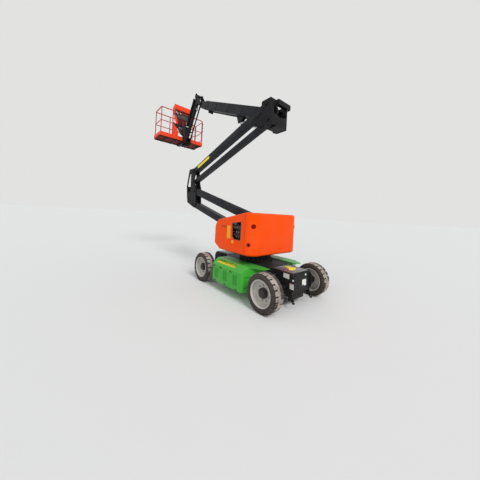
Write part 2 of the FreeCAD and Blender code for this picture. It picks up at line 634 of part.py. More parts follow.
NODES["power_unit"] = fuse([box(-300, 320, 330, 640, TURRET_Z0 - 4.7, 1330),
                            box(-260, 60, 380, 660, 1330, 1480)])


# Cylinders

def eye_caps(x, z, y_mid):
    """Round caps on the outside of a pair of ears, where the open eye's pin shows."""
    reach = EYE_W / 2.0 + SIDE_CLEAR + EAR_T
    return [cyl_y(x, z, y_mid + reach, y_mid + reach + PIN_HEAD, EAR_CAP_R),
            cyl_y(x, z, y_mid - reach - PIN_HEAD, y_mid - reach, EAR_CAP_R)]


def ear_spans(y_mid):
    """The two ears' stretches of y, either side of a rod's eye."""
    near, far = EYE_W / 2.0 + SIDE_CLEAR, EYE_W / 2.0 + SIDE_CLEAR + EAR_T
    return [(y_mid - far, y_mid - near), (y_mid + near, y_mid + far)]


def cylinder(spec, y_mid):
    """The barrel, pinned at its base, and the rod, whose eye holds its own pin stub."""
    base, eye = spec["base"], spec["eye"]
    barrel_r, rod_r, base_r = spec["barrel_r"], spec["rod_r"], spec["base_r"]

    def at(distance):
        x, z = along(base, eye, distance)
        return (x, y_mid, z)

    mouth = spec["barrel_end"]
    gland = mouth - spec["gland"]
    bottom = base_r + 8.0
    barrel = fuse([rod(at(base_r * 0.6), at(mouth), barrel_r), rod(at(gland), at(mouth), barrel_r + 6.0),
                   cyl_y(base[0], base[1], y_mid - 32.0, y_mid + 32.0, base_r)])
    barrel = barrel.cut([rod(at(bottom), at(gland), barrel_r - CYL_WALL),
                         rod(at(gland), at(mouth + 1.0), rod_r + SLIDE_CLEAR),
                         cyl_y(base[0], base[1], y_mid - 40.0, y_mid + 40.0, spec["pin_r"] + PIN_CLEAR)])
    stem = fuse([rod(at(spec["piston"]), at(spec["piston"] + PISTON_T), barrel_r - CYL_WALL - SLIDE_CLEAR),
                 rod(at(spec["piston"]), at(span_length(base, eye) - spec["eye_r"] / 2.0), rod_r),
                 cyl_y(eye[0], eye[1], y_mid - EYE_W / 2.0, y_mid + EYE_W / 2.0, spec["eye_r"])])
    return barrel, stem


# Riser arms and mid link

NODES["lower_riser_arm"] = pinned_tube(LOWER_ARM_LOW, LOWER_ARM_TOP, LOWER_DEPTH, ARM_Y0, ARM_Y1,
                                       ARM_WALL, BOSS_R, RISER_PIN_R)
NODES["lower_riser_link"] = pinned_tube(LOWER_LINK_LOW, LOWER_LINK_TOP, LOWER_DEPTH, ARM_Y0, ARM_Y1,
                                        ARM_WALL, BOSS_R, RISER_PIN_R)
upper_arm = pinned_tube(UPPER_ARM_LOW, UPPER_ARM_TOP, UPPER_DEPTH, ARM_Y0, ARM_Y1,
                        ARM_WALL, BOSS_R, RISER_PIN_R)
eye = RISER_CYL["eye"]
lever = [(UPPER_ARM_LOW[0], UPPER_ARM_LOW[1] - BOSS_R + 4, 0), (eye[0] + 40, eye[1] - 40, 30),
         (eye[0] + 40, eye[1] + 42, 30), (UPPER_ARM_LOW[0], UPPER_ARM_LOW[1] + BOSS_R - 4, 0)]
parts = [upper_arm] + [side_plate(lever, y0, y1) for y0, y1 in ear_spans(ARM_MID_Y)]
parts += eye_caps(eye[0], eye[1], ARM_MID_Y)
NODES["upper_riser_arm"] = fuse(parts).cut(cyl_y(UPPER_ARM_LOW[0], UPPER_ARM_LOW[1], ARM_Y0 - 1, ARM_Y1 + 1,
                                                 RISER_PIN_R + PIN_CLEAR))
NODES["upper_riser_link"] = pinned_tube(UPPER_LINK_LOW, UPPER_LINK_TOP, UPPER_LINK_DEPTH, ARM_Y0 + 18,
                                        ARM_Y1 - 18, ARM_WALL, BOSS_R - 8, RISER_PIN_R)

MID_OUTLINE = [(-150, -484, 70), (-50, -564, 60), (480, -364, 70), (580, 196, 90), (420, 791, 60),
               (80, 791, 60), (0, 316, 100), (-110, 56, 80)]
MID_WINDOW = [(280, -24, 30), (456, -24, 30), (495, 196, 60), (363, 616, 40), (280, 616, 30)]
MID_WEB = [(490, -114, 0), (515, -114, 0), (555, 176, 0), (530, 196, 0)]


def from_pin(pin, outline):
    """An outline given from a pin, in the machine's x and z."""
    return [(pin[0] + x, pin[1] + z, radius) for x, z, radius in outline]


parts = []
for y0, y1 in (CHEEK_LEFT, CHEEK_RIGHT):
    plate = side_plate(from_pin(LOWER_ARM_TOP, MID_OUTLINE), y0, y1)
    parts.append(plate.cut(side_plate(from_pin(LOWER_ARM_TOP, MID_WINDOW), y0 - 1, y1 + 1)))
parts.append(side_plate(from_pin(LOWER_ARM_TOP, MID_WEB), CHEEK_RIGHT[0], CHEEK_LEFT[1]))
for x, z in (LOWER_ARM_TOP, LOWER_LINK_TOP, UPPER_ARM_LOW, UPPER_LINK_LOW):
    parts.append(cyl_y(x, z, CHEEK_RIGHT[0], CHEEK_LEFT[1] + PIN_HEAD, RISER_PIN_R))
parts.append(cyl_y(*RISER_CYL["base"], CHEEK_RIGHT[0], CHEEK_LEFT[1] + PIN_HEAD, RISER_CYL["pin_r"]))
NODES["mid_link"] = fuse(parts)


# Upright at the riser's top

UPRIGHT_OUTLINE = [(-UPRIGHT_BACK, -UPRIGHT_DROP, 20), (135, -UPRIGHT_DROP, 30), (260, -412, 30),
                   (260, -302, 30), (135, -192, 60), (135, UPRIGHT_RISE, 40), (-UPRIGHT_BACK, UPRIGHT_RISE, 20)]
REAR_WINDOW = [(-250, -22), (180, -22), (180, -192), (-35, -250), (-250, -192)]
UPRIGHT_REAR_X = UPPER_ARM_TOP[0] - UPRIGHT_BACK
UPRIGHT_Z0 = UPPER_ARM_TOP[1] - UPRIGHT_DROP
UPRIGHT_Z1 = UPPER_ARM_TOP[1] + UPRIGHT_RISE
RIGHT_PLATE = (-UPRIGHT_HALF_W, -UPRIGHT_HALF_W + CHEEK_PLATE)
parts = [side_plate(from_pin(UPPER_ARM_TOP, UPRIGHT_OUTLINE), y0, y1)
         for y0, y1 in (CHEEK_LEFT, CHEEK_RIGHT, RIGHT_PLATE)]
rear = box(UPRIGHT_REAR_X, UPRIGHT_REAR_X + PLATE, -UPRIGHT_HALF_W, UPRIGHT_HALF_W,
           UPRIGHT_Z0 + 10, UPRIGHT_Z1 - 10)
opening = [V(UPRIGHT_REAR_X - 1, y, UPPER_ARM_TOP[1] + z) for y, z in REAR_WINDOW]
parts.append(rear.cut(Part.Face(Part.makePolygon(opening + opening[:1])).extrude(V(PLATE + 2, 0, 0))))
parts.append(box(UPRIGHT_REAR_X, UPPER_ARM_TOP[0] + 135, RIGHT_PLATE[0], CHEEK_RIGHT[0] + 1,
                 UPRIGHT_Z0 + 10, UPRIGHT_Z0 + 10 + PLATE))
hood_x, hood_z = UPRIGHT_REAR_X - HOOD_OUT, UPRIGHT_Z1 - HOOD_DROP
shade = side_plate([(hood_x, hood_z, 0), (UPRIGHT_REAR_X + 1, hood_z, 0), (UPRIGHT_REAR_X + 1, UPRIGHT_Z1, 0),
                    (hood_x, UPRIGHT_Z1, 30)], *HOOD_Y)
shade_core = side_plate([(hood_x + SHEET, hood_z - 1, 0), (UPRIGHT_REAR_X + 2, hood_z - 1, 0),
                         (UPRIGHT_REAR_X + 2, UPRIGHT_Z1 - SHEET, 0), (hood_x + SHEET, UPRIGHT_Z1 - SHEET, 30 - SHEET)],
                        HOOD_Y[0] + SHEET, HOOD_Y[1] - SHEET)
parts.append(shade.cut(shade_core))
for x, z in (UPPER_ARM_TOP, UPPER_LINK_TOP):
    parts.append(cyl_y(x, z, CHEEK_RIGHT[0], CHEEK_LEFT[1] + PIN_HEAD, RISER_PIN_R))
parts.append(cyl_y(BOOM_PIVOT[0], BOOM_PIVOT[1], RIGHT_PLATE[0] - PIN_HEAD, CHEEK_RIGHT[1], BOOM_PIN_R))
parts.append(cyl_y(*BOOM_CYL["base"], RIGHT_PLATE[0] - PIN_HEAD, CHEEK_RIGHT[1], BOOM_CYL["pin_r"]))
NODES["top_upright"] = fuse(parts)


# Boom

def boom_tube(start, end, depth, width, wall):
    return tube(BOOM_PIVOT, BOOM_AHEAD, start, end, depth, BOOM_Y - width / 2.0, BOOM_Y + width / 2.0, wall)


def boom_bar(start, end, low, high, y0, y1):
    return bar(BOOM_PIVOT, BOOM_AHEAD, start, end, low, high, y0, y1)


INNER_DEPTH = BOOM_DEPTH - 2 * (BOOM_WALL + INNER_GAP)
INNER_W = BOOM_W - 2 * (BOOM_WALL + INNER_GAP)
half_w = BOOM_W / 2.0
parts = [boom_tube(-BOOM_TAIL, OUTER_END, BOOM_DEPTH, BOOM_W, BOOM_WALL)]
for side in (-1, 1):
    y0, y1 = sorted((BOOM_Y + side * (half_w - BOOM_WALL), BOOM_Y + side * (INNER_W / 2.0 + SLIDE_CLEAR)))
    parts.append(boom_bar(OUTER_END - 90, OUTER_END - 10, -INNER_DEPTH / 2.0, INNER_DEPTH / 2.0, y0, y1))
    lo, hi = sorted((side * (BOOM_DEPTH / 2.0 - BOOM_WALL), side * (INNER_DEPTH / 2.0 + SLIDE_CLEAR)))
    parts.append(boom_bar(OUTER_END - 90, OUTER_END - 10, lo, hi,
                          BOOM_Y - INNER_W / 2.0, BOOM_Y + INNER_W / 2.0))
parts.append(cyl_y(BOOM_PIVOT[0], BOOM_PIVOT[1], BOOM_Y - half_w, BOOM_Y + half_w, 70))
eye = BOOM_CYL["eye"]
root = [along(BOOM_PIVOT, BOOM_AHEAD, distance, -BOOM_DEPTH / 2.0 + 4.0) for distance in (1120.0, 1480.0)]
for y0, y1 in ear_spans(BOOM_Y):
    parts.append(side_plate([(root[0][0], root[0][1], 0), (eye[0] - 45, eye[1] - 40, 30),
                             (eye[0] + 45, eye[1] - 50, 30), (root[1][0], root[1][1], 0)], y0, y1))
parts += eye_caps(eye[0], eye[1], BOOM_Y)
boom = fuse(parts)
NODES["boom_outer"] = boom.cut(cyl_y(BOOM_PIVOT[0], BOOM_PIVOT[1], BOOM_Y - half_w - 1, BOOM_Y + half_w + 1,
                                     BOOM_PIN_R + PIN_CLEAR))

parts = [boom_tube(INNER_TAIL, INNER_TIP - 60, INNER_DEPTH, INNER_W, BOOM_WALL)]
tip = JIB_TIP_PIN
HEAD_Y = (BOOM_Y - JIB_W / 2.0 + CHEEK_PLATE + SIDE_CLEAR, BOOM_Y + JIB_W / 2.0 - CHEEK_PLATE - SIDE_CLEAR)
parts.append(boom_bar(INNER_TIP - 150, INNER_TIP - 60, -INNER_DEPTH / 2.0 + 2, INNER_DEPTH / 2.0 - 2, *HEAD_Y))
parts.append(cyl_y(tip[0], tip[1], HEAD_Y[0], HEAD_Y[1], 50))
neck = [along(BOOM_PIVOT, BOOM_AHEAD, INNER_TIP - 150, -60), (tip[0] + 10, tip[1] - 49), (tip[0], tip[1] + 49),
        along(BOOM_PIVOT, BOOM_AHEAD, INNER_TIP - 150, 60)]
parts.append(side_plate([(x, z, 0) for x, z in neck], *HEAD_Y))
tip_bore = cyl_y(tip[0], tip[1], HEAD_Y[0] - 1, HEAD_Y[1] + 1, JIB_PIN_R + PIN_CLEAR)
NODES["boom_inner"] = fuse(parts).cut(tip_bore)


for name, spec, y_mid in (("riser", RISER_CYL, ARM_MID_Y), ("boom", BOOM_CYL, BOOM_Y),
                          ("jib", JIB_CYL, BOOM_Y)):
    barrel, stem = cylinder(spec, y_mid)
    NODES[name + "_cylinder_barrel"] = barrel
    NODES[name + "_cylinder_rod"] = stem


# Jib

JIB_PLATE_Y = [(BOOM_Y - JIB_W / 2.0, BOOM_Y - JIB_W / 2.0 + CHEEK_PLATE),
               (BOOM_Y + JIB_W / 2.0 - CHEEK_PLATE, BOOM_Y + JIB_W / 2.0)]
outline = [(tip[0] - 52, tip[1] - 20, 20), (tip[0] + 5, tip[1] - 55, 20), (tip[0] + 75, tip[1] - 20, 30),
           (JIB_LINK_TOP[0] + 58, JIB_LINK_TOP[1] - 45, 40), (JIB_ARM_TOP[0] + 72, JIB_ARM_TOP[1] - 40, 40),
           (JIB_ARM_TOP[0] + 35, JIB_ARM_TOP[1] + 60, 40), (JIB_ARM_TOP[0] - 60, JIB_ARM_TOP[1] + 50, 30),
           (JIB_LINK_TOP[0] - 120, JIB_LINK_TOP[1] + 50, 40), (tip[0] - 48, tip[1] + 50, 20)]
parts = [side_plate(outline, y0, y1) for y0, y1 in JIB_PLATE_Y]
for (x, z), r in ((tip, JIB_PIN_R), (JIB_ARM_TOP, JIB_PIN_R), (JIB_CYL["base"], JIB_CYL["pin_r"])):
    parts.append(cyl_y(x, z, JIB_PLATE_Y[0][0] - JIB_PIN_HEAD, JIB_PLATE_Y[1][1] + JIB_PIN_HEAD, r))
stub = CHEEK_PLATE + SIDE_CLEAR + LINK_STRAP_T
for s in (-1, 1):
    y0, y1 = sorted((BOOM_Y + s * (JIB_W / 2.0 + JIB_PIN_HEAD), BOOM_Y + s * (JIB_W / 2.0 - stub)))
    parts.append(cyl_y(JIB_LINK_TOP[0], JIB_LINK_TOP[1], y0, y1, JIB_PIN_R))
NODES["jib_base"] = fuse(parts)

jib_y0, jib_y1 = JIB_PLATE_Y[0][1] + SIDE_CLEAR, JIB_PLATE_Y[1][0] - SIDE_CLEAR
length = span_length(JIB_ARM_TOP, JIB_ARM_END)
parts = [tube(JIB_ARM_TOP, JIB_ARM_END, 20.0, length - 20.0, JIB_BAR, BOOM_Y - 55, BOOM_Y + 55, 6.0)]
parts += [cyl_y(x, z, jib_y0, jib_y1, JIB_BOSS_R) for x, z in (JIB_ARM_TOP, JIB_ARM_END)]
eye = JIB_CYL["eye"]
eye_run = ((eye[0] - JIB_ARM_TOP[0]) * JIB_SPAN[0] + (eye[1] - JIB_ARM_TOP[1]) * JIB_SPAN[1]) / length
ear_root = [along(JIB_ARM_TOP, JIB_ARM_END, eye_run + s, -JIB_BAR / 2.0 + 3) for s in (-90, 90)]
ear_tip = [(eye[0] + JIB_SPAN[0] / length * s, eye[1] + JIB_SPAN[1] / length * s) for s in (30, -30)]
for y0, y1 in ear_spans(BOOM_Y):
    parts.append(side_plate([(x, z, 0) for x, z in ear_root + ear_tip], y0, y1))
parts += [cyl_y(eye[0], eye[1], y0, y1, 30.0) for y0, y1 in ear_spans(BOOM_Y)]
parts += eye_caps(eye[0], eye[1], BOOM_Y)
bores = [cyl_y(x, z, jib_y0 - 1, jib_y1 + 1, JIB_PIN_R + PIN_CLEAR) for x, z in (JIB_ARM_TOP, JIB_ARM_END)]
NODES["jib_arm"] = fuse(parts).cut(bores)

straps = []
for s in (-1, 1):
    outer = BOOM_Y + s * (JIB_W / 2.0 - CHEEK_PLATE - SIDE_CLEAR)
    inner = outer - s * LINK_STRAP_T
    y0, y1 = sorted((outer, inner))
    strap = fuse([bar(JIB_LINK_TOP, JIB_LINK_END, 0.0, length,
                      -LINK_STRAP_W / 2.0, LINK_STRAP_W / 2.0, y0, y1)]
                 + [cyl_y(x, z, y0, y1, JIB_BOSS_R) for x, z in (JIB_LINK_TOP, JIB_LINK_END)])
    straps.append(strap)
tie = along(JIB_LINK_TOP, JIB_LINK_END, length - 420.0)
straps.append(cyl_y(tie[0], tie[1], jib_y0 + 1, jib_y1 - 1, 26))
bores = [cyl_y(x, z, jib_y0 - 1, jib_y1 + 1, JIB_PIN_R + PIN_CLEAR) for x, z in (JIB_LINK_TOP, JIB_LINK_END)]
NODES["jib_link"] = fuse(straps).cut(bores)

HEAD_PLATE_X = HEAD_AXIS_X - 50.0
outline = [(JIB_LINK_END[0] - 55, JIB_LINK_END[1] - 50, 40), (HEAD_PLATE_X, ROTATOR_Z0 + 10, 0),
           (HEAD_PLATE_X, ROTATOR_Z1 - 10, 0), (JIB_ARM_END[0] - 55, JIB_ARM_END[1] + 50, 30),
           (JIB_LINK_END[0] - 58, JIB_LINK_END[1] + 40, 40)]
parts = [side_plate(outline, y0, y1) for y0, y1 in JIB_PLATE_Y]
for x, z in (JIB_ARM_END, JIB_LINK_END):
    parts.append(cyl_y(x, z, JIB_PLATE_Y[0][0] - JIB_PIN_HEAD, JIB_PLATE_Y[1][1] + JIB_PIN_HEAD, JIB_PIN_R))
parts.append(cyl_z(HEAD_AXIS_X, BOOM_Y, ROTATOR_Z0, ROTATOR_Z1, ROTATOR_R))
parts.append(box(HEAD_PLATE_X - 12, HEAD_PLATE_X + 5, JIB_PLATE_Y[0][0], JIB_PLATE_Y[1][1],
                 ROTATOR_Z0 + 10, ROTATOR_Z1 - 10))
NODES["jib_head"] = fuse(parts)


# Platform

def rail(points, r):
    """A round rail along a run of corners, each corner closed by a ball."""
    solids = [rod(p, q, r) for p, q in zip(points, points[1:])]
    solids += [Part.makeSphere(r, V(*p)) for p in points[1:-1]]
    return solids


def bent_rail(points, r):
    """A round rail swept along corners (x, y, z, bend radius), each bent by an arc."""
    places = [V(x, y, z) for x, y, z, bend in points]
    edges = []
    here = places[0]
    for i in range(1, len(places) - 1):
        back = (places[i - 1] - places[i]).normalize()
        ahead = (places[i + 1] - places[i]).normalize()
        bend = points[i][3]
        start, end = places[i] + back * bend, places[i] + ahead * bend
        middle = places[i] + (back + ahead) * (bend * (1.0 - math.sqrt(0.5)))
        edges += [Part.makeLine(here, start), Part.Arc(start, middle, end).toShape()]
        here = end
    edges.append(Part.makeLine(here, places[-1]))
    way = places[1] - places[0]
    section = Part.Wire(Part.makeCircle(r, places[0], way))
    return Part.Wire(edges).makePipeShell([section], True, True)


px0, px1, pw = PLATFORM_X0, PLATFORM_X0 + PLATFORM_D, PLATFORM_HALF_W
floor = box(px0, px1, -pw, pw, FLOOR_Z, FLOOR_Z + FLOOR_T)
pockets = [box(px0 + 40 + i * 223, px0 + 40 + i * 223 + 205, -pw + 40 + j * 308, -pw + 40 + j * 308 + 290,
               FLOOR_Z - 1, FLOOR_Z + FLOOR_T - SHEET) for i in range(3) for j in range(6)]
toe = [box(px0, px0 + SHEET, -pw, pw, FLOOR_Z + FLOOR_T, FLOOR_Z + TOE_H),
       box(px1 - SHEET, px1, -pw, pw, FLOOR_Z + FLOOR_T, FLOOR_Z + TOE_H),
       box(px0, px1, pw - SHEET, pw, FLOOR_Z + FLOOR_T, FLOOR_Z + TOE_H)]
NODES["platform_floor"] = fuse([floor.cut(pockets)] + toe)

in_x0, in_x1, in_y = px0 + SHEET + RAIL_R, px1 - SHEET - RAIL_R, pw - SHEET - RAIL_R
gate_y = -pw + RAIL_R
foot = FLOOR_Z + FLOOR_T
top = RAIL_TOP_Z - RAIL_R
solids = [bent_rail([(in_x0, gate_y, foot, 0), (in_x0, gate_y, top, RAIL_BEND_R), (in_x0, in_y, top, RAIL_CORNER_R),
                     (in_x1, in_y, top, RAIL_CORNER_R), (in_x1, gate_y, top, RAIL_BEND_R),
                     (in_x1, gate_y, foot, 0)], RAIL_R),
          bent_rail([(in_x0, gate_y, MID_RAIL_Z, 0), (in_x0, in_y, MID_RAIL_Z, RAIL_CORNER_R),
                     (in_x1, in_y, MID_RAIL_Z, RAIL_CORNER_R), (in_x1, gate_y, MID_RAIL_Z, 0)], MID_RAIL_R)]
corner = RAIL_CORNER_R * (1.0 - math.sqrt(0.5))
for x, y in ((in_x0 + corner, in_y - corner), (in_x1 - corner, in_y - corner), (in_x0, pw * 0.475),
             (in_x1, pw * 0.325), (in_x1, -pw * 0.325), (in_x0, -pw * 0.475)):
    solids.append(rod((x, y, foot), (x, y, top), POST_R))
hinge_x = in_x1 - RAIL_R - GATE_PIN_R - 22
for z in (FLOOR_Z + 330, MID_RAIL_Z + 300):
    solids.append(box(hinge_x - 14, in_x1, gate_y - 14, gate_y + 14, z - 12, z + 12))
    solids.append(cyl_z(hinge_x, gate_y, z, z + 60, GATE_PIN_R))
NODES["platform_rails"] = fuse(solids)

gate_x0 = in_x0 + RAIL_R + 12
gate_x1 = hinge_x
gate_zs = (FLOOR_Z + 250, MID_RAIL_Z, RAIL_TOP_Z - 60)
gate = rail([(gate_x1, gate_y, gate_zs[0]), (gate_x0 + 14, gate_y, gate_zs[0]), (gate_x0 + 14, gate_y, gate_zs[2]),
             (gate_x1, gate_y, gate_zs[2]), (gate_x1, gate_y, gate_zs[0])], 14.0)
gate.append(rod((gate_x0 + 14, gate_y, gate_zs[1]), (gate_x1, gate_y, gate_zs[1]), 14.0))
GATE_CUTS = []
for z in (FLOOR_Z + 330, MID_RAIL_Z + 300):
    GATE_CUTS.append(box(hinge_x - 30, hinge_x + 30, gate_y - 30, gate_y + 30, z - 13, z + 13))
    gate.append(cyl_z(hinge_x, gate_y, z + 13, z + 60, 20.0))
    GATE_CUTS.append(cyl_z(hinge_x, gate_y, z, z + 61, GATE_PIN_R + PIN_CLEAR))
gate_body = fuse(gate).cut(GATE_CUTS)
NODES["platform_gate"] = gate_body

CONSOLE_Y = (-270.0, 400.0)
console_z = RAIL_TOP_Z - 124
hood = [(px0 - 60, RAIL_TOP_Z + 56, 0), (px0 + 20, RAIL_TOP_Z + 46, 0), (px0 + 200, RAIL_TOP_Z + 126, 0),
        (px0 + 190, RAIL_TOP_Z + 166, 20), (px0 - 20, RAIL_TOP_Z + 261, 30), (px0 - 60, RAIL_TOP_Z + 236, 20)]
console = [side_plate(hood, *CONSOLE_Y)]
wall = [(px0 - 55, RAIL_TOP_Z + 70, 0), (px0 + 175, RAIL_TOP_Z + 125, 0), (px0 + 175, console_z, 0),
        (px0 + SHEET - SLIDE_CLEAR, console_z, 0), (px0 - SLIDE_CLEAR, MID_RAIL_Z + 20, 0),
        (px0 - 25, MID_RAIL_Z + 20, 0)]
for y0, y1 in ((CONSOLE_Y[0], CONSOLE_Y[0] + 10), (CONSOLE_Y[1] - 10, CONSOLE_Y[1])):
    console.append(side_plate(wall, y0, y1))
gusset = [V(px0 - 6, 430, FLOOR_Z + 110), V(px0 - 6, 430, MID_RAIL_Z + 50), V(px0 - 6, 385, MID_RAIL_Z + 50),
          V(px0 - 6, 190, FLOOR_Z + 300), V(px0 - 6, 215, FLOOR_Z + 20), V(px0 - 6, 300, FLOOR_Z + 20)]
console.append(Part.Face(Part.makePolygon(gusset + gusset[:1])).extrude(V(5.7, 0, 0)))
notch = box(px0 + SHEET - SLIDE_CLEAR, px0 + SHEET + 2 * RAIL_R + SLIDE_CLEAR, -400, 500,
            RAIL_TOP_Z - 2 * RAIL_R - SLIDE_CLEAR, RAIL_TOP_Z + SLIDE_CLEAR)
NODES["control_console"] = fuse(console).cut(notch)
switch_box = [(px0 + 48, console_z, 20), (px0 + 165, console_z, 20), (px0 + 165, RAIL_TOP_Z + 108, 0),
              (px0 + 48, RAIL_TOP_Z + 56, 0)]
NODES["console_box"] = side_plate(switch_box, CONSOLE_Y[0] + 10.3, CONSOLE_Y[1] - 10.3)

arm_z0 = ROTATOR_Z0 - 60
panel_x = px0 - 6.3 - PLATE
panel = [V(panel_x, CONSOLE_Y[1] + 30, MID_RAIL_Z + 19), V(panel_x, CONSOLE_Y[0] - 20, MID_RAIL_Z + 19),
         V(panel_x, BOOM_Y - 75, ROTATOR_Z1 + 50), V(panel_x, BOOM_Y + 75, ROTATOR_Z1 + 50)]
parts = [cyl_z(HEAD_AXIS_X, BOOM_Y, ROTATOR_Z1 + SLIDE_CLEAR, ROTATOR_Z1 + 30, ROTATOR_R + 8),
         cyl_z(HEAD_AXIS_X, BOOM_Y, arm_z0, ROTATOR_Z0 - SLIDE_CLEAR, ROTATOR_R + 8),
         box(HEAD_AXIS_X, px0 - 10, BOOM_Y - 60, BOOM_Y + 60, ROTATOR_Z1 + 5, ROTATOR_Z1 + 30),
         box(HEAD_AXIS_X, px0 - 10, BOOM_Y - 60, BOOM_Y + 60, arm_z0, ROTATOR_Z0 - 5),
         box(px0 - 30, px0 - 6.3, BOOM_Y - 75, BOOM_Y + 75, arm_z0, ROTATOR_Z1 + 60),
         Part.Face(Part.makePolygon(panel + panel[:1])).extrude(V(PLATE, 0, 0)),
         box(px0 - 30, px1 - 120, BOOM_Y - 60, BOOM_Y + 60, FLOOR_Z - 90, FLOOR_Z)]
NODES["platform_bracket"] = fuse(parts)

os.makedirs("parts", exist_ok=True)
for name, solid in NODES.items():
    place(solid).exportStep("parts/" + name + ".step")
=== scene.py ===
"""Looks for the articulating boom lift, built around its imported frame."""
import math

import bmesh
import bpy
from bpy.props import FloatProperty, FloatVectorProperty, IntProperty, PointerProperty
from mathutils import Matrix, Vector


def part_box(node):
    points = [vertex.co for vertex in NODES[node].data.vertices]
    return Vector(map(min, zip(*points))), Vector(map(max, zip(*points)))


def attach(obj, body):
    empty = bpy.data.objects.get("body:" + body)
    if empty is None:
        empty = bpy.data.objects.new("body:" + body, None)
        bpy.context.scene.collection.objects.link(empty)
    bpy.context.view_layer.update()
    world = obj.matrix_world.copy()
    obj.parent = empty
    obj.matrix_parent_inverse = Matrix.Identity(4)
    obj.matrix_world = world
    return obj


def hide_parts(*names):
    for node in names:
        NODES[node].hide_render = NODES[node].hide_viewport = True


bl_info = {
    "name": "Articulating boom lift looks",
    "version": (1, 0, 0),
    "blender": (4, 5, 0),
    "location": "View3D > Sidebar > Boom lift",
    "description": "Dresses the boom lift's frame with tyres, fittings, hoses, labels and finishes",
    "category": "Object",
}

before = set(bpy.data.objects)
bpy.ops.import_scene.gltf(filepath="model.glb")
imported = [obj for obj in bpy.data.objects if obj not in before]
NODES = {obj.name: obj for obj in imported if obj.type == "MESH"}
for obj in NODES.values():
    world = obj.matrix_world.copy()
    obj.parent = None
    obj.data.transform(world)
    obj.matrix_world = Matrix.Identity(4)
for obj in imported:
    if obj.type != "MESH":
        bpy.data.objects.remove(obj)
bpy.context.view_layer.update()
MM = 0.001


def node_centre(node):
    low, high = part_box(node)
    return (low + high) / 2.0


# Half way between the axles, in the part's own frame
MIDDLE_X = (node_centre("tyre_front_left").x + node_centre("tyre_rear_left").x) / 2.0
WHEELS = {name: node_centre("tyre_" + name) for name in
          ("front_left", "front_right", "rear_left", "rear_right")}
TYRE_R = 0.355
TYRE_W = 0.240
RIM_R = 0.245
LUGS = 22
BLOCK_GAP = 0.026


def at(x, y, z):
    """A point given in millimetres from half way between the axles, at the ground."""
    return Vector((x * MM + MIDDLE_X, y * MM, z * MM))


def srgb(r, g, b):
    """A colour as the screen shows it, 0 to 255, in Blender's linear numbers."""
    def linear(value):
        value /= 255.0
        return value / 12.92 if value <= 0.04045 else ((value + 0.055) / 1.055) ** 2.4
    return tuple(linear(v) for v in (r, g, b))


# Settings that a user would change

class FinishSettings(bpy.types.PropertyGroup):
    turret_colour: FloatVectorProperty(name="Turret colour", description="Paint of the turret and platform",
                                       subtype="COLOR", size=3, min=0.0, max=1.0, default=srgb(250, 78, 0))
    platform_colour: FloatVectorProperty(name="Platform colour", description="Paint of the work platform's sheets",
                                         subtype="COLOR", size=3, min=0.0, max=1.0, default=srgb(238, 64, 30))
    rail_colour: FloatVectorProperty(name="Rail colour", description="Paint of the platform's rails",
                                     subtype="COLOR", size=3, min=0.0, max=1.0, default=srgb(186, 66, 58))
    pod_colour: FloatVectorProperty(name="Pod colour", description="Paint of the side pods",
                                    subtype="COLOR", size=3, min=0.0, max=1.0, default=srgb(58, 168, 50))
    steel_colour: FloatVectorProperty(name="Steel colour", description="Paint of the chassis and pivots",
                                      subtype="COLOR", size=3, min=0.0, max=1.0, default=srgb(25, 25, 28))
    boom_colour: FloatVectorProperty(name="Boom colour", description="Paint of the riser and boom tubes",
                                     subtype="COLOR", size=3, min=0.0, max=1.0, default=srgb(30, 32, 37))
    rim_colour: FloatVectorProperty(name="Rim colour", description="Paint of the wheel rims",
                                    subtype="COLOR", size=3, min=0.0, max=1.0, default=srgb(186, 182, 176))
    dust: FloatProperty(name="Dust", description="How much dust lies on upward faces",
                        subtype="FACTOR", min=0.0, max=1.0, default=0.35)
    wear: FloatProperty(name="Wear", description="How much the paint is scuffed",
                        subtype="FACTOR", min=0.0, max=1.0, default=0.3)


class FittingSettings(bpy.types.PropertyGroup):
    bolt_size: FloatProperty(name="Bolt size", description="Width across a usual bolt head",
                             unit="LENGTH", min=0.008, max=0.04, default=0.019)
    hose_radius: FloatProperty(name="Hose radius", description="Radius of a usual hydraulic hose",
                               unit="LENGTH", min=0.004, max=0.02, default=0.009)
    hose_count: IntProperty(name="Hoses", description="Hoses side by side in a bundle",
                            min=1, max=6, default=3)


# Mesh building

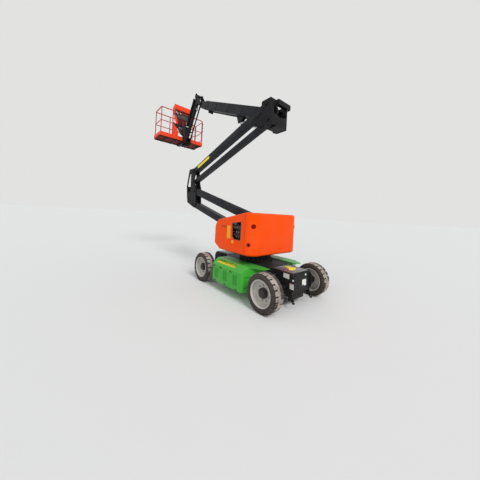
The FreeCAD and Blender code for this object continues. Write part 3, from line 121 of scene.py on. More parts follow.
class Form:
    """A mesh built from bmesh operators in the part's own frame, in metres."""

    def __init__(self):
        self.bm = bmesh.new()

    def _finish(self, verts, bevel, segments=2):
        if bevel > 0:
            edges = [e for e in self.bm.edges if e.verts[0] in verts and e.verts[1] in verts]
            bmesh.ops.bevel(self.bm, geom=edges, offset=bevel, offset_type="OFFSET", segments=segments,
                            profile=0.5, affect="EDGES", material=-1, clamp_overlap=True)

    def block(self, low, high, bevel=0.002, turn=None, about=None):
        """A block between two corners in machine millimetres, with eased edges."""
        a, b = at(*low), at(*high)
        size, centre = b - a, (a + b) / 2.0
        matrix = Matrix.Translation(centre) @ Matrix.Diagonal((*size, 1.0))
        if turn is not None:
            pivot = Matrix.Translation(at(*about) if about else centre)
            matrix = pivot @ turn.to_4x4() @ pivot.inverted() @ matrix
        made = bmesh.ops.create_cube(self.bm, size=1.0, matrix=matrix)
        self._finish(set(made["verts"]), bevel)
        return self

    def drum(self, start, end, radius, end_radius=None, segments=32, bevel=0.0015):
        """A round bar or disc from start to end, in machine millimetres."""
        a, b = at(*start), at(*end)
        return self.drum_at(a, b, radius * MM, None if end_radius is None else end_radius * MM, segments, bevel)

    def drum_at(self, a, b, radius, end_radius=None, segments=32, bevel=0.0015):
        way = b - a
        turn = way.to_track_quat("Z", "Y").to_matrix().to_4x4()
        matrix = Matrix.Translation((a + b) / 2.0) @ turn
        made = bmesh.ops.create_cone(self.bm, cap_ends=True, cap_tris=False, segments=segments, radius1=radius,
                                     radius2=radius if end_radius is None else end_radius,
                                     depth=way.length, matrix=matrix)
        if bevel > 0:
            verts = set(made["verts"])
            rims = [e for e in self.bm.edges if e.verts[0] in verts and e.verts[1] in verts
                    and len(e.link_faces) == 2 and any(len(f.verts) == segments for f in e.link_faces)]
            bmesh.ops.bevel(self.bm, geom=rims, offset=bevel, offset_type="OFFSET", segments=2, profile=0.5,
                            affect="EDGES", material=-1, clamp_overlap=True)
        return self

    def bolt(self, foot, out, size=19.0, washer=True):
        """A hexagon bolt head on its washer; foot in machine millimetres, out a direction."""
        p, n = at(*foot), Vector(out).normalized()
        across = size * MM
        lift = 0.0
        if washer:
            self.drum_at(p, p + n * across * 0.14, across * 0.72, segments=20, bevel=across * 0.03)
            lift = across * 0.14
        self.drum_at(p + n * lift, p + n * (lift + across * 0.55), across * 0.577, segments=6, bevel=across * 0.06)
        self.drum_at(p + n * (lift + across * 0.5), p + n * (lift + across * 0.72), across * 0.3, segments=12,
                     bevel=across * 0.05)
        return self

    def ring(self, centre, axis, radius, thick, segments=48, sides=10):
        """A round ring, spun about its axis; sizes in millimetres."""
        n = Vector(axis).normalized()
        side = n.orthogonal().normalized()
        turn = Matrix((side, n.cross(side), n)).transposed().to_4x4()
        p = at(*centre)
        here = Matrix.Translation(p + side * radius * MM) @ Matrix((side, n, side.cross(n))).transposed().to_4x4()
        made = bmesh.ops.create_circle(self.bm, cap_ends=False, segments=sides, radius=thick * MM, matrix=here)
        edges = list({e for v in made["verts"] for e in v.link_edges})
        bmesh.ops.spin(self.bm, geom=made["verts"] + edges, cent=p, axis=n, angle=math.tau, steps=segments,
                       use_merge=True, use_duplicate=False)
        return self

    def plate(self, points, y0, y1, bevel=0.0015):
        """An outline in x and z between two y values, in machine millimetres."""
        verts = [self.bm.verts.new(at(x, y0, z)) for x, z in points]
        face = self.bm.faces.new(verts)
        out = bmesh.ops.extrude_face_region(self.bm, geom=[face])
        moved = [v for v in out["geom"] if isinstance(v, bmesh.types.BMVert)]
        bmesh.ops.translate(self.bm, verts=moved, vec=Vector((0, (y1 - y0) * MM, 0)))
        self._finish(set(verts) | set(moved), bevel)
        return self

    def slab(self, points, z0, z1, bevel=0.0015):
        """An outline in x and y between two heights, in machine millimetres."""
        verts = [self.bm.verts.new(at(x, y, z0)) for x, y in points]
        face = self.bm.faces.new(verts)
        out = bmesh.ops.extrude_face_region(self.bm, geom=[face])
        moved = [v for v in out["geom"] if isinstance(v, bmesh.types.BMVert)]
        bmesh.ops.translate(self.bm, verts=moved, vec=Vector((0, 0, (z1 - z0) * MM)))
        self._finish(set(verts) | set(moved), bevel)
        return self

    def patch(self, corners, thick=1.2, bevel=0.0004):
        """A thin plate from its corners in machine millimetres, raised on its own normal."""
        verts = [self.bm.verts.new(at(*c)) for c in corners]
        face = self.bm.faces.new(verts)
        face.normal_update()
        lift = face.normal * thick * MM
        out = bmesh.ops.extrude_face_region(self.bm, geom=[face])
        moved = [v for v in out["geom"] if isinstance(v, bmesh.types.BMVert)]
        bmesh.ops.translate(self.bm, verts=moved, vec=lift)
        self._finish(set(verts) | set(moved), bevel, 1)
        return self

    def mirror_y(self):
        """A copy of everything so far on the machine's other side."""
        geom = list(self.bm.verts) + list(self.bm.edges) + list(self.bm.faces)
        copy = bmesh.ops.duplicate(self.bm, geom=geom)["geom"]
        verts = [g for g in copy if isinstance(g, bmesh.types.BMVert)]
        faces = [g for g in copy if isinstance(g, bmesh.types.BMFace)]
        bmesh.ops.scale(self.bm, vec=(1, -1, 1), verts=verts)
        bmesh.ops.reverse_faces(self.bm, faces=faces)
        return self

    def make(self, name, finish, body, smooth=35.0):
        """The finished piece, riding on a body, with its material and soft edges."""
        bmesh.ops.recalc_face_normals(self.bm, faces=self.bm.faces)
        mesh = bpy.data.meshes.new(name)
        self.bm.to_mesh(mesh)
        self.bm.free()
        piece = bpy.data.objects.new(name, mesh)
        bpy.context.scene.collection.objects.link(piece)
        for one in finish if isinstance(finish, (list, tuple)) else (finish,):
            mesh.materials.append(material(one))
        mesh.shade_smooth()
        mesh.set_sharp_from_angle(angle=math.radians(smooth))
        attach(piece, body)
        return piece


def hose(name, points, radius, body, finish="hose_rubber", closed_ends=True):
    """A hose or wire on one body, along a smooth curve through the points given in machine millimetres."""
    curve = bpy.data.curves.new(name, "CURVE")
    curve.dimensions = "3D"
    curve.bevel_depth = radius
    curve.bevel_resolution = 3
    curve.resolution_u = 8
    curve.use_fill_caps = closed_ends
    spline = curve.splines.new("NURBS")
    spline.points.add(len(points) - 1)
    for point, place in zip(spline.points, points):
        point.co = (*at(*place), 1.0)
    spline.order_u = min(4, len(points))
    spline.use_endpoint_u = True
    piece = bpy.data.objects.new(name, curve)
    bpy.context.scene.collection.objects.link(piece)
    curve.materials.append(material(finish))
    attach(piece, body)
    return piece


# Shader groups and materials

def group_tree(name, inputs, outputs):
    tree = bpy.data.node_groups.new(name, "ShaderNodeTree")
    for label, kind, default in inputs:
        socket = tree.interface.new_socket(name=label, in_out="INPUT", socket_type=kind)
        if default is not None:
            socket.default_value = default
    for label, kind in outputs:
        tree.interface.new_socket(name=label, in_out="OUTPUT", socket_type=kind)
    return tree, tree.nodes.new("NodeGroupInput"), tree.nodes.new("NodeGroupOutput")


def mixed(tree, factor, first, second, blend="MIX"):
    """A colour mix; each argument is a socket or a plain value."""
    node = tree.nodes.new("ShaderNodeMix")
    node.data_type = "RGBA"
    node.blend_type = blend
    for index, value in ((0, factor), (6, first), (7, second)):
        if isinstance(value, bpy.types.NodeSocket):
            tree.links.new(value, node.inputs[index])
        else:
            node.inputs[index].default_value = value
    return node.outputs[2]


def worked(tree, operation, *values, clamp=False):
    """A math node's result; each value is a socket or a number."""
    node = tree.nodes.new("ShaderNodeMath")
    node.operation = operation
    node.use_clamp = clamp
    for index, value in enumerate(values):
        if isinstance(value, bpy.types.NodeSocket):
            tree.links.new(value, node.inputs[index])
        else:
            node.inputs[index].default_value = value
    return node.outputs[0]


def noise(tree, vector, scale, detail=4.0, roughness=0.55):
    node = tree.nodes.new("ShaderNodeTexNoise")
    node.inputs["Detail"].default_value = detail
    node.inputs["Roughness"].default_value = roughness
    tree.links.new(vector, node.inputs["Vector"])
    if isinstance(scale, bpy.types.NodeSocket):
        tree.links.new(scale, node.inputs["Scale"])
    else:
        node.inputs["Scale"].default_value = scale
    return node.outputs["Fac"]


def stepped(tree, value, low, high):
    """The value stretched so that low becomes 0 and high becomes 1."""
    node = tree.nodes.new("ShaderNodeMapRange")
    node.interpolation_type = "SMOOTHSTEP"
    tree.links.new(value, node.inputs["Value"])
    node.inputs["From Min"].default_value = low
    node.inputs["From Max"].default_value = high
    return node.outputs["Result"]


def worn_paint_group():
    """Paint that fades in clouds, carries dust on upward faces and splashes low down, and is scuffed."""
    tree, given, put = group_tree(
        "Worn paint",
        [("Paint", "NodeSocketColor", (0.5, 0.5, 0.5, 1)), ("Under", "NodeSocketColor", (0.2, 0.18, 0.16, 1)),
         ("Dust colour", "NodeSocketColor", (*srgb(176, 164, 148), 1)), ("Dust", "NodeSocketFloat", 0.3),
         ("Wear", "NodeSocketFloat", 0.3), ("Gloss", "NodeSocketFloat", 0.35), ("Bump", "NodeSocketFloat", 0.12)],
        [("Colour", "NodeSocketColor"), ("Roughness", "NodeSocketFloat"), ("Normal", "NodeSocketVector")])
    where = tree.nodes.new("ShaderNodeTexCoord").outputs["Object"]
    geometry = tree.nodes.new("ShaderNodeNewGeometry")
    split = tree.nodes.new("ShaderNodeSeparateXYZ")
    tree.links.new(geometry.outputs["Normal"], split.inputs[0])
    place = tree.nodes.new("ShaderNodeSeparateXYZ")
    tree.links.new(where, place.inputs[0])
    clouds = noise(tree, where, 2.3, 5.0)
    grain = noise(tree, where, 38.0, 6.0, 0.65)
    fine = noise(tree, where, 260.0, 3.0)
    faded = mixed(tree, worked(tree, "MULTIPLY", stepped(tree, clouds, 0.35, 0.75), 0.012), given.outputs["Paint"],
                  (0.9, 0.86, 0.8, 1))
    shade = mixed(tree, worked(tree, "MULTIPLY", stepped(tree, grain, 0.45, 0.8), 0.25), faded,
                  given.outputs["Under"])
    scuff = worked(tree, "MULTIPLY", stepped(tree, grain, 0.66, 0.74), stepped(tree, clouds, 0.5, 0.62))
    scuff = worked(tree, "MULTIPLY", scuff, given.outputs["Wear"], clamp=True)
    scuffed = mixed(tree, scuff, shade, given.outputs["Under"])
    upward = stepped(tree, split.outputs["Z"], 0.2, 0.95)
    low = worked(tree, "SUBTRACT", 1.0, stepped(tree, place.outputs["Z"], 0.15, 0.95))
    lies = worked(tree, "MULTIPLY", worked(tree, "MAXIMUM", upward, worked(tree, "MULTIPLY", low, 0.55)),
                  stepped(tree, grain, 0.3, 0.72))
    lies = worked(tree, "MULTIPLY", lies, given.outputs["Dust"], clamp=True)
    dusty = mixed(tree, lies, scuffed, given.outputs["Dust colour"])
    rough = worked(tree, "ADD", given.outputs["Gloss"], worked(tree, "MULTIPLY", grain, 0.12))
    rough = worked(tree, "ADD", rough, worked(tree, "MULTIPLY", lies, 0.5), clamp=True)
    bump = tree.nodes.new("ShaderNodeBump")
    bump.inputs["Distance"].default_value = 0.002
    tree.links.new(given.outputs["Bump"], bump.inputs["Strength"])
    height = worked(tree, "ADD", worked(tree, "MULTIPLY", fine, 0.3), worked(tree, "MULTIPLY", grain, 0.7))
    tree.links.new(height, bump.inputs["Height"])
    tree.links.new(dusty, put.inputs["Colour"])
    tree.links.new(rough, put.inputs["Roughness"])
    tree.links.new(bump.outputs["Normal"], put.inputs["Normal"])
    return tree


def machined_group():
    """Bare or plated metal with fine turning marks and a little grime."""
    tree, given, put = group_tree(
        "Machined metal",
        [("Metal", "NodeSocketColor", (0.6, 0.6, 0.6, 1)), ("Grime", "NodeSocketFloat", 0.3),
         ("Gloss", "NodeSocketFloat", 0.2), ("Marks", "NodeSocketFloat", 0.1)],
        [("Colour", "NodeSocketColor"), ("Roughness", "NodeSocketFloat"), ("Normal", "NodeSocketVector")])
    where = tree.nodes.new("ShaderNodeTexCoord").outputs["Object"]
    spots = noise(tree, where, 30.0, 5.0)
    fine = noise(tree, where, 400.0, 2.0)
    dark = worked(tree, "MULTIPLY", stepped(tree, spots, 0.5, 0.8), given.outputs["Grime"], clamp=True)
    colour = mixed(tree, dark, given.outputs["Metal"], (0.05, 0.045, 0.04, 1))
    rough = worked(tree, "ADD", given.outputs["Gloss"], worked(tree, "MULTIPLY", spots, 0.25), clamp=True)
    bump = tree.nodes.new("ShaderNodeBump")
    bump.inputs["Distance"].default_value = 0.0006
    tree.links.new(given.outputs["Marks"], bump.inputs["Strength"])
    tree.links.new(fine, bump.inputs["Height"])
    tree.links.new(colour, put.inputs["Colour"])
    tree.links.new(rough, put.inputs["Roughness"])
    tree.links.new(bump.outputs["Normal"], put.inputs["Normal"])
    return tree


def rubber_group():
    """Moulded rubber or plastic, with pale dust in its grain."""
    tree, given, put = group_tree(
        "Moulded rubber",
        [("Rubber", "NodeSocketColor", (0.02, 0.02, 0.02, 1)), ("Dust colour", "NodeSocketColor", (0.4, 0.35, 0.3, 1)),
         ("Dust", "NodeSocketFloat", 0.3), ("Gloss", "NodeSocketFloat", 0.7), ("Grain", "NodeSocketFloat", 0.3)],
        [("Colour", "NodeSocketColor"), ("Roughness", "NodeSocketFloat"), ("Normal", "NodeSocketVector")])
    where = tree.nodes.new("ShaderNodeTexCoord").outputs["Object"]
    clouds = noise(tree, where, 9.0, 6.0, 0.6)
    fine = noise(tree, where, 150.0, 5.0, 0.6)
    dusty = worked(tree, "MULTIPLY", stepped(tree, worked(tree, "MULTIPLY", worked(tree, "ADD", clouds, fine), 0.5),
                                            0.32, 0.62), given.outputs["Dust"], clamp=True)
    colour = mixed(tree, dusty, given.outputs["Rubber"], given.outputs["Dust colour"])
    rough = worked(tree, "ADD", given.outputs["Gloss"], worked(tree, "MULTIPLY", dusty, 0.2), clamp=True)
    bump = tree.nodes.new("ShaderNodeBump")
    bump.inputs["Distance"].default_value = 0.0012
    tree.links.new(given.outputs["Grain"], bump.inputs["Strength"])
    tree.links.new(fine, bump.inputs["Height"])
    tree.links.new(colour, put.inputs["Colour"])
    tree.links.new(rough, put.inputs["Roughness"])
    tree.links.new(bump.outputs["Normal"], put.inputs["Normal"])
    return tree


GROUPS = {}
RECIPES = {}


def recipes(settings):
    """What each finish is made of: its group, the group's values and the shader's own."""
    dust, wear = settings.dust, settings.wear
    steel, boom = tuple(settings.steel_colour), tuple(settings.boom_colour)
    rust = srgb(70, 52, 44)

    def paint(colour, gloss, dust_share=1.0, wear_share=1.0, under=(0.03, 0.03, 0.032), bump=0.1, shine=0.22):
        return ("Worn paint", {"Paint": (*colour, 1), "Under": (*under, 1), "Dust": dust * dust_share,
                               "Wear": wear * wear_share, "Gloss": gloss, "Bump": bump},
                {"Specular IOR Level": shine})

    def rubber(colour, gloss, dust_colour=srgb(150, 138, 124), dust_share=0.5, grain=0.3):
        return ("Moulded rubber", {"Rubber": (*colour, 1), "Dust colour": (*dust_colour, 1), "Dust": dust_share,
                                   "Gloss": gloss, "Grain": grain}, {})

    def metal(colour, gloss, grime=0.3, marks=0.1):
        return ("Machined metal", {"Metal": (*colour, 1), "Grime": grime, "Gloss": gloss, "Marks": marks},
                {"Metallic": 1.0})

    return {
        "turret_paint": paint(settings.turret_colour, 0.28, 0.3, 0.5, srgb(150, 40, 12), shine=0.1),
        "weight_paint": paint(settings.turret_colour, 0.32, 0.35, 0.8, srgb(140, 38, 12), 0.25, shine=0.1),
        "pod_paint": paint(settings.pod_colour, 0.24, 0.4, 0.5, srgb(24, 84, 24)),
        "platform_paint": paint(settings.platform_colour, 0.35, 0.6, 0.8, srgb(140, 44, 30)),
        "rail_paint": paint(settings.rail_colour, 0.38, 0.4, 0.9, srgb(96, 44, 40), shine=0.12),
        # A dark red that stands for the platform's orange sheets lying in shade: painted shade, not the paint's own
        # colour.
        "shaded_paint": paint(srgb(104, 26, 20), 0.5, 0.3, 0.6, srgb(50, 18, 16), shine=0.08),
        "steel_paint": paint(steel, 0.4, 0.16, 0.6, rust, shine=0.1),
        "boom_paint": paint(boom, 0.36, 0.15, 0.6, srgb(20, 22, 26), shine=0.12),
        "rim_paint": paint(settings.rim_colour, 0.36, 0.6, 0.7, srgb(92, 84, 76), 0.2),
        "hub_paint": paint(srgb(30, 30, 32), 0.4, 0.8, 0.8, rust),
        # Deck plate: a dark paint lifted to a grey-blue that is partly a painted sky reflection.
        "deck_paint": paint(srgb(84, 87, 94), 0.2, 0.3, 0.6, srgb(66, 66, 70), 0.04, shine=0.8),
        "tyre_side": rubber(srgb(34, 29, 28), 0.72, srgb(110, 98, 88), 0.25),
        "tyre_tread": rubber(srgb(86, 78, 74), 0.85, srgb(190, 180, 168), 0.85, 0.5),
        "hose_rubber": rubber(srgb(26, 26, 28), 0.5, srgb(110, 104, 98), 0.25),
        "black_plastic": rubber(srgb(28, 28, 30), 0.45, srgb(120, 112, 104), 0.25, 0.15),
        "battery_case": rubber(srgb(34, 34, 36), 0.5, srgb(120, 112, 104), 0.3, 0.15),
        "chrome": metal(srgb(212, 214, 218), 0.05, 0.1, 0.03),
        "plated": metal(srgb(170, 166, 158), 0.3, 0.45),
        "raw_steel": metal(srgb(104, 102, 100), 0.38, 0.6, 0.2),
        "brass": metal(srgb(176, 140, 70), 0.3, 0.4),
        "yellow_label": paint(srgb(246, 226, 50), 0.42, 0.3, 0.5, srgb(150, 130, 40), 0.03),
        "amber_label": paint(srgb(250, 165, 24), 0.42, 0.3, 0.5, srgb(150, 96, 30), 0.03),
        "white_label": paint(srgb(226, 224, 216), 0.45, 0.3, 0.5, srgb(130, 124, 116), 0.03),
        "grey_plastic": rubber(srgb(150, 150, 148), 0.5, srgb(110, 104, 98), 0.2, 0.1),
        "red_plastic": rubber(srgb(190, 24, 20), 0.4, srgb(110, 60, 50), 0.1, 0.1),
        "yellow_plastic": rubber(srgb(226, 190, 40), 0.4, srgb(130, 110, 50), 0.15, 0.1),
        "green_plastic": rubber(srgb(40, 120, 50), 0.4, srgb(60, 80, 50), 0.1, 0.1),
    }


def material(name):
    """The named finish, made once. Its own name keeps it apart from the frame's slots."""
    look = name + "_look"
    if look in bpy.data.materials:
        return bpy.data.materials[look]
    group, values, own = RECIPES[name]
    made = bpy.data.materials.new(look)
    made.use_nodes = True
    tree = made.node_tree
    shader = tree.nodes["Principled BSDF"]
    for socket, value in own.items():
        shader.inputs[socket].default_value = value
    holder = tree.nodes.new("ShaderNodeGroup")
    holder.node_tree = GROUPS[group]
    for socket, value in values.items():
        holder.inputs[socket].default_value = value
    tree.links.new(holder.outputs["Colour"], shader.inputs["Base Color"])
    tree.links.new(holder.outputs["Roughness"], shader.inputs["Roughness"])
    tree.links.new(holder.outputs["Normal"], shader.inputs["Normal"])
    made.diffuse_color = (*list(values.values())[0][:3], 1.0)
    return made


NODE_FINISH = [
    ("tyre_", "tyre_side"), ("rim_", "rim_paint"), ("hub_", "hub_paint"), ("side_pod", "pod_paint"),
    ("battery", "battery_case"), ("power_unit", "black_plastic"), ("counterweight", "weight_paint"),
    ("cover_", "turret_paint"), ("platform_floor", "platform_paint"), ("control_console", "platform_paint"),
    ("platform_rails", "rail_paint"), ("platform_gate", "rail_paint"), ("console_box", "black_plastic"),
    ("tie_rod", "raw_steel"), ("boom_outer", "boom_paint"), ("boom_inner", "boom_paint"),
    ("lower_riser", "boom_paint"), ("upper_riser", "boom_paint"), ("jib_arm", "boom_paint"),
    ("jib_link", "boom_paint"),
]


def node_finish(node):
    if node.endswith("_rod"):
        return "chrome" if "cylinder" in node else "raw_steel"
    for start, finish in NODE_FINISH:
        if node.startswith(start):
            return finish
    return "steel_paint"


class MakeFinishes(bpy.types.Operator):
    """Make the shader groups and give every frame node its finish"""
    bl_idname = "boomlift.finishes"
    bl_label = "Finishes"

    def execute(self, context):
        GROUPS.update({"Worn paint": worn_paint_group(), "Machined metal": machined_group(),
                       "Moulded rubber": rubber_group()})
        RECIPES.update(recipes(context.scene.boomlift_finish))
        for name, node in NODES.items():
            made = material(node_finish(name))
            if node.material_slots:
                for slot in node.material_slots:
                    slot.material = made
            else:
                node.data.materials.append(made)
        return {"FINISHED"}


# Wheels

def tyre_form(form, centre, left):
    """A solid tyre: a spun carcass, then two staggered rows of shoulder blocks."""
    bm = form.bm
    half = TYRE_W / 2.0
    base = TYRE_R - 0.024
    profile = [(RIM_R - 0.012, -half + 0.022), (RIM_R + 0.004, -half + 0.010), (RIM_R + 0.012, -half + 0.012),
               (RIM_R + 0.020, -half + 0.003), (RIM_R + 0.045, -half), (base - 0.028, -half + 0.002),
               (base - 0.012, -half + 0.012), (base, -half + 0.030), (base, -half + 0.086),
               (TYRE_R - 0.001, -half + 0.089), (TYRE_R, -0.012)]
    ring = profile + [(r, -y) for r, y in reversed(profile)]
    verts = [bm.verts.new(centre + Vector((r, y, 0))) for r, y in ring]
    edges = [bm.edges.new(pair) for pair in zip(verts, verts[1:] + verts[:1])]
    bmesh.ops.spin(bm, geom=verts + edges, cent=centre, axis=Vector((0, 1, 0)), angle=math.tau,
                   steps=LUGS * 4, use_merge=True, use_duplicate=False)
    step = math.tau / LUGS
    for side, shift in ((left, 0.5), (-left, 0.0)):
        for i in range(LUGS):
            inner, outer = half - 0.092, half - 0.006
            block = bmesh.ops.create_cube(bm, size=1.0, matrix=Matrix.Identity(4))["verts"]
            for v in block:
                across = v.co.x * (step * TYRE_R - BLOCK_GAP)
                reach = outer if v.co.y > 0 else inner
                height = math.sqrt(TYRE_R ** 2 - across ** 2) if v.co.z > 0 else base - 0.012
                if v.co.y > 0 and v.co.z > 0:
                    reach = half - 0.024
                if v.co.y > 0 and v.co.z < 0:
                    height = base - 0.036
                    reach = half + 0.0005
                turn = Matrix.Rotation(step * (i + shift), 3, "Y")
                v.co = centre + turn @ Vector((across, side * reach, height))
            edges = [e for e in {e for v in block for e in v.link_edges}]
            bmesh.ops.bevel(bm, geom=edges, offset=0.004, offset_type="OFFSET", segments=2, profile=0.5,
                            affect="EDGES", material=-1, clamp_overlap=True)
    bmesh.ops.recalc_face_normals(bm, faces=bm.faces)
    for face in bm.faces:
        middle = face.calc_center_median() - centre
        radius = math.hypot(middle.x, middle.z)
        outward = face.normal.dot(Vector((middle.x, 0, middle.z)).normalized())
        face.material_index = 1 if radius > TYRE_R - 0.010 and outward > 0.3 else 0


class MakeTyres(bpy.types.Operator):
    """Make the four solid tyres with their tread blocks"""
    bl_idname = "boomlift.tyres"
    bl_label = "Tyres"

    def execute(self, context):
        for name, centre in WHEELS.items():
            form = Form()
            left = 1 if centre.y > 0 else -1
            tyre_form(form, centre, left)
            tyre = form.make("tyre_tread_" + name, ["tyre_side", "tyre_tread"], "wheel_" + name, 40.0)
            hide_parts("tyre_" + name)
        return {"FINISHED"}


class MakeWheelFittings(bpy.types.Operator):
    """Make the wheel nuts, hub bolts and lip lines"""
    bl_idname = "boomlift.wheel_fittings"
    bl_label = "Wheel fittings"

    def execute(self, context):
        for name, centre in WHEELS.items():
            left = 1 if centre.y > 0 else -1
            x = (centre.x - MIDDLE_X) / MM
            y = centre.y / MM
            z = centre.z / MM
            form = Form()
            for i in range(9):
                angle = math.tau * i / 9
                form.bolt((x + 140 * math.cos(angle), y + left * 9, z + 140 * math.sin(angle)), (0, left, 0), 24)
            form.make("wheel_nuts_" + name, "plated", "wheel_" + name)
            form = Form()
            for i in range(6):
                angle = math.tau * i / 6 + 0.3
                form.bolt((x + 83 * math.cos(angle), y + left * 58, z + 83 * math.sin(angle)), (0, left, 0), 11,
                          False)
            form.drum((x, y + left * 76, z), (x, y + left * 82, z), 40, segments=32)
            form.bolt((x + 22, y + left * 82, z), (0, left, 0), 12, False)
            form.make("hub_bolts_" + name, "hub_paint", "wheel_" + name)
            form = Form()
            form.ring((x, y + left * 112, z), (0, 1, 0), 241, 4.5, 72, 8)
            form.make("rim_lip_" + name, "rim_paint", "wheel_" + name)
        return {"FINISHED"}


# Chassis and pods

class MakeChassisFittings(bpy.types.Operator):
    """Make the chassis bolts, plates, pipe fittings and blank labels"""
    bl_idname = "boomlift.chassis_fittings"
    bl_label = "Chassis fittings"

    def execute(self, context):
        size = context.scene.boomlift_fittings.bolt_size / MM
        form = Form()
        for i in range(24):
            angle = math.tau * (i + 0.5) / 24
            form.bolt((381 * math.cos(angle), 381 * math.sin(angle), 730), (0, 0, 1), size)
        form.make("ring_bolts", "raw_steel", "chassis")

        form = Form()
        decks = Form()
        for fore in (1, -1):
            decks.slab([(fore * 770, -250), (fore * 1262, -250), (fore * 1262, 250), (fore * 770, 250)][::fore],
                       670, 676)
            for x, y in ((790, -180), (790, 180), (1170, -180), (1170, 180), (980, -180), (980, 180)):
                form.bolt((fore * x, y, 676), (0, 0, 1), 13)
            form.block((fore * 1275 - 3, -236, 320), (fore * 1275 + 3, 236, 640), 1.5 * MM)
            for y, z in ((-215, 340), (215, 340), (-215, 620), (215, 620)):
                form.bolt((fore * 1278, y, z), (fore, 0, 0), 16)
            for y in (-293, 293):
                side = 1 if y > 0 else -1
                for x, z in ((1090, 315), (1200, 330), (1290, 355), (1050, 540), (1050, 400)):
                    form.bolt((fore * x, side * 301, z), (0, side, 0), 17)
        # The deck plates' grey-blue colour is partly painted reflection.
        decks.make("deck_plates", "deck_paint", "chassis")
        lower = Form()
        lower.block((-1192, -236, 120), (-1164, 236, 322), 0.003)
        for y in (-190, 190):
            lower.block((-1164, y - 6, 180), (-1060, y + 6, 322), 0.002)
        lower.make("lower_crossplate", "steel_paint", "chassis")
        form.make("chassis_bolts", "steel_paint", "chassis")

        form = Form()
        for fore in (1, -1):
            for y in (-60, 60):
                form.drum((fore * 1278, y, 395), (fore * 1290, y, 395), 26, segments=28)
                form.ring((fore * 1291, y, 395), (1, 0, 0), 20, 3.5, 32, 8)
        form.make("chassis_plugs", "black_plastic", "chassis")

        form = Form()
        form.drum((-1302, 301, 556), (-1302, 304, 556), 19, segments=28, bevel=0.0005)
        form.drum((-1278.5, -140, 606), (-1281.5, -140, 606), 22, segments=28, bevel=0.0005)
        form.patch([(-1232, 301.4, 388), (-1322, 301.4, 384), (-1322, 301.4, 497), (-1232, 301.4, 493)][::-1])
        form.patch([(-1281.2, -28, 394), (-1281.2, -168, 394), (-1281.2, -164, 517), (-1281.2, -28, 519)])
        form.make("chassis_white_labels", "white_label", "chassis")
        form = Form()
        form.patch([(-1076, 301.4, 566), (-1212, 301.4, 560), (-1216, 301.4, 652), (-1076, 301.4, 652)][::-1])
        form.make("chassis_pale_label", "white_label", "chassis")
        form = Form()
        form.patch([(-1234, 302.2, 477), (-1320, 302.2, 480), (-1320, 302.2, 493), (-1234, 302.2, 489)][::-1], 0.6)
        form.make("chassis_red_label", "red_plastic", "chassis")
        form = Form()
        form.slab([(-806, -71), (-890, -140), (-988, -122), (-996, -187), (-1105, -58), (-1118, 76), (-1062, 124),
                   (-990, 20), (-900, -20)][::-1], 676.2, 677.6, 0.0004)
        form.make("deck_mark", "yellow_label", "chassis")

        form = Form()
        for left in (1, -1):
            for fore in (1, -1):
                x = fore * 1050
                form.drum((x - fore * 60, left * 460, 440), (x - fore * 60, left * 520, 440), 15, segments=6)
                form.drum((x - fore * 60, left * 520, 440), (x - fore * 60, left * 545, 470), 11, segments=16)
                form.ring((x, left * 610, 355), (0, 1, 0), 82, 6, 48, 8) if fore < 0 else None
                if fore < 0:
                    for i in range(10):
                        angle = math.tau * i / 10
                        form.bolt((x + 66 * math.cos(angle), left * 700, 355 + 66 * math.sin(angle)), (0, -left, 0),
                                  11, False)
        form.make("axle_fittings", "plated", "chassis")

        radius = context.scene.boomlift_fittings.hose_radius
        for left, side in ((1, "left"), (-1, "right")):
            for i in range(2):
                hose("rear_brake_hose_%s_%d" % (side, i), [
                    (-990 + 30 * i, left * 545, 470), (-985 + 25 * i, left * 575, 520), (-960 + 20 * i, left * 470, 600),
                    (-930, left * 400, 610), (-900, left * 330, 590)], radius * 0.8, "chassis")
            hose("front_brake_hose_" + side, [(990, left * 545, 470), (970, left * 560, 520), (940, left * 450, 600),
                                              (900, left * 330, 590)], radius * 0.8, "chassis")
        return {"FINISHED"}


